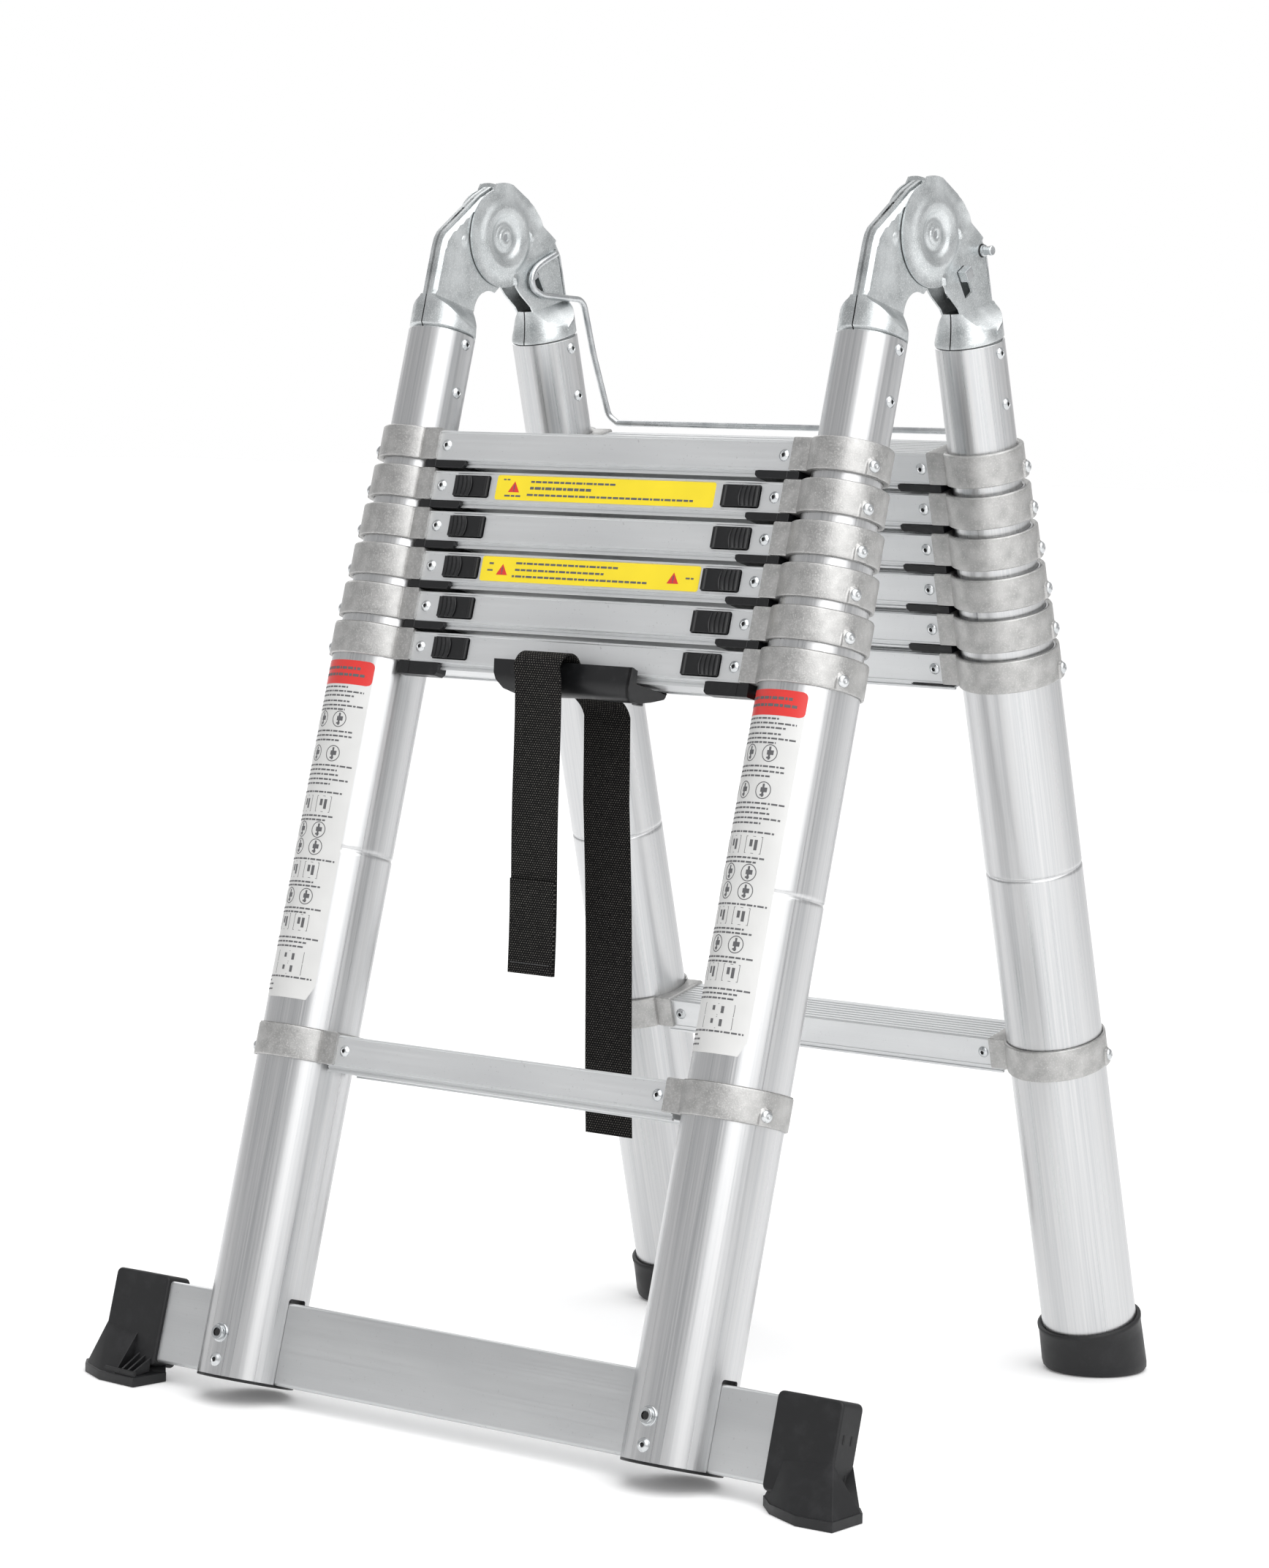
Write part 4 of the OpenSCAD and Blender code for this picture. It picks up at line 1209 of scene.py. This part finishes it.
def bail():
    """The release wire: a pin at each end, a loop round each bolt, and a cross bar."""
    one = filleted([(-14.0, *PIN)] + [(BAIL_IN, *p) for p in WIRE_SIDE] + [(BAIL_IN + 7, 88, -166)], 5.0, 5)
    left = [(-HALF_SPACING + p[0], -p[1], p[2]) for p in one]
    right = [(HALF_SPACING - p[0], -p[1], p[2]) for p in reversed(one)]
    wire = sweep(filleted(left + right, 0.4, 1), WIRE_R, 16)
    obj = make("release_wire", "release_bail", wire, ZINC, LEG["rear"], smooth=60)
    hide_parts("release_bail")
    head = turned([(4.2, 0.3), (4.3, 0.8), (4.3, 2.0), (3.2, 2.3), (3.0, 6.6), (3.5, 6.9), (3.5, 8.4),
                   (3.0, 9.0)], 28)
    # A dark ring round each wire end on the plate is painted shade
    gap = turned([(4.9, -0.5), (4.9, 0.35), (4.3, 0.4)], 28)
    spots = [((s * (HALF_SPACING + HINGE_HALF["rear"]), -PIN[0], PIN[1]), (s, 0, 0)) for s in (-1, 1)]
    make("release_wire_end_shades", "release_bail", placed(gap, spots), HOLE, LEG["rear"])
    make("release_wire_ends", "release_bail", placed(head, spots), ZINC, LEG["rear"])


for hinge_side in ("left", "right"):
    hinge_arm("front", hinge_side)
    hinge_arm("rear", hinge_side)
    lock_parts(hinge_side)
bail()


# ---- Strap and holder ----

HOLDER = {"top": 334.0, "floor": 357.0, "half": 63.5, "front": 29.5, "back": -14.0, "corner": 20.0}
HOLDER_WALL = 2.6
HOLDER_COLUMNS = 37
# How far each end's lobe is cut back: the left end is open, the right one nearly square
HOLDER_CUT = (0.9, 0.2)
STRAP_W = 42.0
STRAP_T = 1.6
STRAP_X = -11.0
STRAP_LOW = 319.0
STRAP_REAR_END = 206.0


def leg_to_world(drop, out):
    """A point of the front ladder's middle plane as (y, z) in millimetres."""
    p = at("front", 0, out, drop).translation
    return p.y / MM, p.z / MM


def holder():
    """Moulded channel under the lowest stage rung: a lip in front, a sagging floor and a wall behind."""
    top, floor, half, front, back, corner = HOLDER.values()
    path = [(front, top), (front, top + 10), (front - 0.6, floor - 8), (front - 4, floor - 2.5),
            (front - 9, floor), (12, floor - 0.5), (0, floor - 4), (back + 6, floor - 7),
            (back + 1, floor - 9), (back, floor - 11), (back, floor - 13.5)]
    rings = []
    for i in range(HOLDER_COLUMNS):
        u = -1 + 2 * i / (HOLDER_COLUMNS - 1)
        # Both ends are cut to a rounded lobe: the sheet's lower parts stop short of them
        sections = []
        for out, drop in path:
            below = (drop - top) / (floor - top)
            pull = corner - math.sqrt(max(0.0, corner ** 2 - (corner * below) ** 2))
            pull *= HOLDER_CUT[0] if u < 0 else HOLDER_CUT[1]
            arch = 2.4 * math.exp(-((u - 0.25) / 0.28) ** 2)
            arch *= smooth_step(0.2, 0.9, below) * smooth_step(-25, 5, -out)
            sections.append((half * u * (1 - pull / half), out, drop - arch))
        inner = []
        for k, (x, out, drop) in enumerate(sections):
            a, b = sections[max(k - 1, 0)], sections[min(k + 1, len(sections) - 1)]
            along = Vector((b[1] - a[1], b[2] - a[2])).normalized()
            away = HOLDER_WALL * abs(along.y) * (1 if out > 0 else -1)
            inner.append((x, away - out, HOLDER_WALL * abs(along.x) - drop))
        rings.append([(x, -out, -drop) for x, out, drop in sections] + inner[::-1])
    # A wall closes the right end
    sections += [(half, back, top + 10.3), (half, 21.8, top + 10.3), (half, 22.8, top + 1)]
    end = [(x, -out, -drop) for x, out, drop in sections]
    wall = skin([end, [(x - HOLDER_WALL, y, z) for x, y, z in end]])
    obj = make("strap_saddle", "front_base", joined(skin(rings), wall), PLASTIC, at("front"), smooth=50,
               bevel=0.7)
    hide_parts("strap_holder")
    post = turned([(4.0, -floor + 1.5), (4.0, -rung_drop(1) - STRIP_DOWN)], 24)
    posts = joined(*[shifted(post, x=x) for x in (-50, 50)])
    make("strap_saddle_posts", "front_base", posts, PLASTIC, at("front"))


# A tape's section: shares of its half width and half thickness, once round it
TAPE_FACE = [(-1, -0.4), (-0.985, -1), (-0.5, -1.06), (0, -1.08), (0.5, -1.06), (0.985, -1), (1, -0.4)]
TAPE_SECTION = TAPE_FACE + [(-u, -v) for u, v in TAPE_FACE]


def tape(name, route, width, thickness):
    """A flat tape along a route of (x, y, z) centres, with its width along X and its weave's coordinates."""
    route = [Vector(p) for p in route]
    wide = Vector((1, 0, 0))
    rings, weave, total = [], [], 0.0
    for i, p in enumerate(route):
        ahead = (route[min(i + 1, len(route) - 1)] - route[max(i - 1, 0)]).normalized()
        normal = wide.cross(ahead).normalized()
        if i:
            total += (p - route[i - 1]).length
        rings.append([p + wide * (u * width / 2) + normal * (v * thickness / 2) for u, v in TAPE_SECTION])
        weave += [(u * width / 2, total) for u, _ in TAPE_SECTION]
    obj = make(name, "front_base", skin(rings), WEB, Matrix.Identity(4), smooth=50)
    layer = obj.data.uv_layers.new(name="tape")
    for loop in obj.data.loops:
        layer.data[loop.index].uv = weave[loop.vertex_index]
    return obj, total


def strap():
    """One length of webbing: up in front, over the holder's lip, under the rung and down behind."""
    lip = leg_to_world(HOLDER["top"] + 2, 24.0)
    front_y = leg_to_world(HOLDER["top"], 45)[0]
    rear_y = leg_to_world(353, -18)[0]
    r, high = (lip[0] - front_y) / 2, lip[1]

    def hanging(t, proud=0.0):
        """A point of the front strand, from its lower end at 0 to the lip at 1."""
        sway = 0.6 * math.sin(9 * t) - 1.2 * math.sin(math.pi * t)
        return STRAP_X + 2.0 * math.sin(2.6 * t), front_y - proud + sway, STRAP_LOW + (high - STRAP_LOW) * t

    route = [hanging(i / 26) for i in range(26)]
    for i in range(15):
        t = math.pi - math.pi * i / 14
        route.append((STRAP_X + 3 * i / 14, front_y + r * (1 + math.cos(t)), high + r * math.sin(t)))
    under = [leg_to_world(*p) for p in ((345, 22.5), (349, 17), (350, 2), (350, -11))]
    under += [(rear_y, leg_to_world(358, -16)[1]), (rear_y, 440)]
    bend = filleted([(0, *p) for p in [route[-1][1:]] + under], 6, 5)
    for i, p in enumerate(bend[1:]):
        route.append((-8 + 17 * i / (len(bend) - 2), p.y, p.z))
    start = route[-1][2]
    for i in range(1, 25):
        t = i / 24
        route.append((9 + 30 * t, rear_y - 26 * t + 1.2 * math.sin(5 * t),
                      start + (STRAP_REAR_END - start) * t))
    obj, length = tape("strap_webbing", route, STRAP_W, STRAP_T)
    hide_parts("strap")
    # Doubled end in front: a second layer, held by two rows of stitches
    doubled = [hanging(0.31 * i / 10, STRAP_T) for i in range(11)]
    fold, _ = tape("strap_fold", doubled, STRAP_W - 0.6, STRAP_T)
    stitch = block((-0.95, 0.95), (-0.35, 0.35), (-0.4, 0.4))
    stitches = [shifted(stitch, STRAP_X - STRAP_W / 2 + 4 + i * (STRAP_W - 8) / 14, front_y - STRAP_T * 1.55,
                        STRAP_LOW + (high - STRAP_LOW) * row) for row in (0.035, 0.285) for i in range(15)]
    seam = make("strap_stitches", "front_base", joined(*stitches), THREAD, Matrix.Identity(4), bevel=0.2)
    # When the ladder closes, the strap flattens against the front rung's face; here each strap piece is only
    # given a mesh of its own
    for piece in (obj, fold, seam):
        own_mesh(piece)
    return length


holder()
STRAP_LENGTH = strap()


# ---- Stickers and labels ----

def on_tube(r, angle, z):
    """A place on a tube: angles are measured from the front, positive towards +X."""
    return r * math.sin(angle), -r * math.cos(angle), z


def wrap(r, middle, half, drop_top, drop_low, corner, lift, thickness=0.12):
    """A thin film with round corners, wrapped round a tube."""
    height, half_w = drop_low - drop_top, half * r
    columns, rows = 40, 24
    rings = []
    for j in range(rows + 1):
        fallen = height * j / rows
        near = min(fallen, height - fallen)
        inset = corner - math.sqrt(max(0.0, corner ** 2 - (corner - near) ** 2)) if near < corner else 0.0
        angles = [middle + (inset - half_w + 2 * (half_w - inset) * i / columns) / r
                  for i in range(columns + 1)]
        outer = [on_tube(r + lift + thickness, a, -drop_top - fallen) for a in angles]
        inner = [on_tube(r + lift, a, -drop_top - fallen) for a in angles]
        rings.append(outer + inner[::-1])
    return skin(rings)


def bar_on_tube(r, middle, half, top, low, lift=0.14, thickness=0.1):
    """A short printed bar; half is half its width in millimetres, round the tube."""
    angles = [middle + t * half / r for t in (-1, 0, 1)]
    outer = [on_tube(r + lift + thickness, a, 0) for a in angles]
    inner = [on_tube(r + lift, a, 0) for a in angles]
    return prism(outer + inner[::-1], -low, -top)


def frame_mark(r, middle, drop, half_w, height):
    """A thin frame round two small blocks."""
    line, half_h = 0.35, height / 2
    bars = [bar_on_tube(r, middle, half_w, drop - half_h, drop - half_h + line),
            bar_on_tube(r, middle, half_w, drop + half_h - line, drop + half_h)]
    for t in (-1, 1):
        foot = height * (0.3 if t > 0 else 0.1)
        bars.append(bar_on_tube(r, middle + t * half_w / r, line / 2, drop - half_h, drop + half_h))
        bars.append(bar_on_tube(r, middle + t * half_w / r * 0.3, 1.2, drop - height * 0.3, drop + foot))
    return joined(*bars)


def oval_mark(r, middle, drop, size):
    """A ring with a few blocks inside it."""
    rings = []
    for i in range(28):
        t = 2 * math.pi * i / 28
        section = ((size, 0.14), (size - 0.6, 0.14), (size - 0.6, 0.26), (size, 0.26))
        rings.append([on_tube(r + depth, middle + rad * math.cos(t) / r, -drop + 0.98 * rad * math.sin(t))
                      for rad, depth in section])
    bars = [bar_on_tube(r, middle + shift / r, half, drop + top, drop + low, thickness=0.12)
            for shift, half, top, low in ((0, 0.8, -4.5, 4.5), (0.6, 2.6, -2.0, 1.2), (-0.4, 1.6, 2.6, 3.8))]
    return joined(skin(rings, closed_path=True), *bars)


# Rows of the notice as drops down the tube: lines of text, round or square marks, wide boxes
NOTICE_HEAD_LINES = (349.5, 354.5)
NOTICE_LINES = (363.8, 367, 370.2, 374.4, 377.6, 380.6, 397, 400.4, 403.8, 422.6, 426, 429.4, 433, 436.4,
                442.6, 460.4, 463.4, 492.6, 509.6, 512.4, 529.2, 532.2, 551, 554.2, 557.4, 580, 583, 586,
                589.6)
NOTICE_ROUND = (387.8, 413.6, 470.6, 483.4, 520.2)
# Each row of square marks with the number of columns that it leaves empty
NOTICE_SQUARE = ((451.4, 0), (500.6, 2), (539.6, 0))
NOTICE_BOXES = (565.0, 574.0)
NOTICE_COLUMNS = [math.radians(v) for v in (-86, -56, -26, 4)]
NOTICE_MIDDLE = math.radians(-28)
NOTICE_HALF = math.radians(65)
LAST_LINES = 582


def words(start, end, rest, least, more, space, seed, beat):
    """Words of uneven length that fill a line until only rest is left: the start and width of each."""
    x, made = start, []
    while x < end - rest:
        made.append((x, min(least + more * abs(math.sin(seed + beat * (len(made) + 1))), end - x)))
        x += made[-1][1] + space
    return made


def notice_lines(r):
    """Plain bars for the lines of the notice, in uneven words; the last lines are short."""
    half = NOTICE_HALF * 0.93
    start = NOTICE_MIDDLE - half
    bars = []
    for row, drop in enumerate(NOTICE_HEAD_LINES + NOTICE_LINES):
        head = drop in NOTICE_HEAD_LINES
        share = 0.9 + 0.1 * math.sin(row * 2.4)
        span = 2 * half * share * r * (0.55 if drop > LAST_LINES else 1)
        tall, lift = (2.0, 0.24) if head else (1.25, 0.14)
        bars += [bar_on_tube(r, start + (x + w / 2) / r, w / 2, drop - tall / 2, drop + tall / 2, lift)
                 for x, w in words(0.0, span, 0.6, 1.4, 3.4, 0.9, row * 1.7, 2.1)]
    return bars


def sticker(s, name):
    """White notice with a red head on an outer tube; its lines and marks are plain shapes."""
    r = OUTER_TUBE_R
    marks = [oval_mark(r, turn, drop, 6.2) for drop in NOTICE_ROUND for turn in NOTICE_COLUMNS]
    marks += [frame_mark(r, turn, drop, 6.4, 12.0) for drop, empty in NOTICE_SQUARE
              for turn in NOTICE_COLUMNS[empty:]]
    marks += [frame_mark(r, math.radians(-4), drop, 13.0, 8.0) for drop in NOTICE_BOXES]
    for part, shape, look in (
            ("notice", wrap(r, NOTICE_MIDDLE, NOTICE_HALF, 344, 595, 5, 0.05), WHITE),
            ("head", wrap(r, NOTICE_MIDDLE, NOTICE_HALF, 343.5, 361.5, 4, 0.12), RED),
            ("lines", joined(*notice_lines(r)), INK), ("marks", joined(*marks), INK)):
        make(f"{name}_{part}", "front_base", shape, look, at("front", s * HALF_SPACING), smooth=60)


LABEL_HALF = 100.0
LABEL_FILM = (-0.25, 0.02)
LABEL_PRINT = (-0.36, -0.24)
LABEL_STROKE = (-0.45, -0.34)


def rung_label(stage, rows, signs):
    """Yellow film on a rung's face with plain bars in rows and plain triangles.

    Rows are (left, right, height, thickness) and signs (place, height, size); places are shares of the
    label's length."""
    body, place = body_at("front", stage), at("front", 0, RUNG_HALF - FACE_RECESS, rung_drop(stage))
    bars, marks, strokes = [], [], []
    for row, (left, right, z, tall) in enumerate(rows):
        start, end = (LABEL_HALF * (2 * share - 1) for share in (left, right))
        bars += [block((x, x + w), LABEL_PRINT, (z - tall / 2, z + tall / 2))
                 for x, w in words(start, end, 1.0, 1.6, 4.2, 1.0, stage + row * 2.3, 1.7)]
    for share, z, size in signs:
        x = LABEL_HALF * (2 * share - 1)
        low, high = z - size * 0.7, z + size * 0.85
        marks.append(prism([(x - size, low), (x + size, low), (x, high)], *LABEL_PRINT, "y"))
        strokes += [block((x - 0.45, x + 0.45), LABEL_STROKE, span)
                    for span in ((low + 2.0, high - 2.4), (low + 0.6, low + 1.4))]
    film_shape = prism(round_rect(2 * LABEL_HALF, 18.2, 1.8, 4), *LABEL_FILM, "y")
    for part, shape, look in (("label", film_shape, YELLOW), ("label_bars", joined(*bars), INK),
                              ("label_signs", joined(*marks), RED), ("label_strokes", joined(*strokes), INK)):
        make(f"{part}_{stage}", body, shape, look, place)


sticker(-1, "left_sticker")
sticker(1, "right_sticker")
rung_label(5, ((0.16, 0.55, 4.9, 1.5), (0.16, 0.45, 0.2, 2.0), (0.15, 0.91, -4.8, 1.5),
               (0.045, 0.12, -6.0, 1.3), (0.03, 0.06, 6.0, 1.0)), ((0.085, 0.4, 5.2),))
rung_label(3, ((0.16, 0.63, 4.9, 1.5), (0.16, 0.57, 0.0, 1.5), (0.15, 0.77, -4.8, 1.5),
               (0.03, 0.06, -1.0, 1.2), (0.035, 0.055, 4.0, 1.4), (0.94, 0.975, 0.0, 1.2)),
           ((0.1, -0.6, 5.2), (0.885, -0.6, 5.2)))


# ---- Floor, light and camera ----

# Direction from the middle of the ladder to the white backdrop, level and away from the camera
BACKDROP = (-0.623, 0.782, 0.0)
# Brightness round that direction, as (cosine of the angle to it, colour)
BACKDROP_RAMP = ((0.8, (0.55, 0.55, 0.555)), (0.93, (1, 1, 1)))
FLOOR_HALF = 30000.0
LAMP_TARGET = Vector((0, 0, 0.45))
VIEW_TARGET = Vector((-0.05302, -0.00545, 0.44282))
VIEW_DISTANCE = 3.43164
VIEW_AZIMUTH = 38.55
VIEW_ELEVATION = 4.85
VIEW_ROLL = 1.11
SENSOR = 36.0
LENS = 106.17


def direction(azimuth, elevation):
    a, e = math.radians(azimuth), math.radians(elevation)
    return Vector((math.sin(a) * math.cos(e), -math.cos(a) * math.cos(e), math.sin(e)))


def light(kind, name, azimuth, elevation, distance, power, size=None, spread=None):
    back = direction(azimuth, elevation)
    data = bpy.data.lights.new(name, kind)
    data.energy = power
    if kind == "AREA":
        data.shape = "RECTANGLE"
        data.size, data.size_y = size
    else:
        data.angle = math.radians(spread)
    lamp = bpy.data.objects.new(name, data)
    bpy.context.scene.collection.objects.link(lamp)
    lamp.location = LAMP_TARGET + back * distance
    lamp.rotation_mode = "QUATERNION"
    lamp.rotation_quaternion = back.to_track_quat("Z", "Y")


def studio():
    """Pale floor, a world that is white behind the ladder and soft grey elsewhere, and three lamps."""
    span = (-FLOOR_HALF, FLOOR_HALF)
    make("floor", None, block(span, span, (-40, -0.2)), PALE, Matrix.Identity(4))
    world = bpy.data.worlds.new("studio")
    bpy.context.scene.world = world
    world.use_nodes = True
    nodes, links = world.node_tree.nodes, world.node_tree.links
    place, toward, ramp = (nodes.new("ShaderNode" + kind) for kind in ("TexCoord", "VectorMath", "ValToRGB"))
    toward.operation = "DOT_PRODUCT"
    toward.inputs[1].default_value = BACKDROP
    links.new(place.outputs["Generated"], toward.inputs[0])
    for stop, (position, colour) in zip(ramp.color_ramp.elements, BACKDROP_RAMP):
        stop.position, stop.color = position, (*colour, 1)
    links.new(toward.outputs["Value"], ramp.inputs["Fac"])
    links.new(ramp.outputs["Color"], nodes["Background"].inputs["Color"])
    nodes["Background"].inputs["Strength"].default_value = 1.0
    light("AREA", "key", 55, 27, 3.4, 45, size=(3.0, 2.4))
    light("AREA", "rear_key", 245, 30, 3.6, 22, size=(2.0, 2.2))
    light("SUN", "overhead", 70, 68, 5.0, 1.7, spread=70)


def camera():
    """The photograph's viewpoint, with its slight roll."""
    azimuth, roll = math.radians(VIEW_AZIMUTH), math.radians(VIEW_ROLL)
    back = direction(VIEW_AZIMUTH, VIEW_ELEVATION)
    right = Vector((math.cos(azimuth), math.sin(azimuth), 0))
    tilted = right * math.cos(roll) + back.cross(right) * math.sin(roll)
    data = bpy.data.cameras.new("camera")
    data.sensor_width, data.lens = SENSOR, LENS
    obj = bpy.data.objects.new("camera", data)
    bpy.context.scene.collection.objects.link(obj)
    turn = Matrix((tilted, back.cross(tilted), back)).transposed().to_4x4()
    obj.matrix_world = Matrix.Translation(VIEW_TARGET + back * VIEW_DISTANCE) @ turn
    bpy.context.scene.camera = obj


studio()
camera()
bpy.context.scene.view_settings.view_transform = "Standard"
bpy.context.view_layer.update()
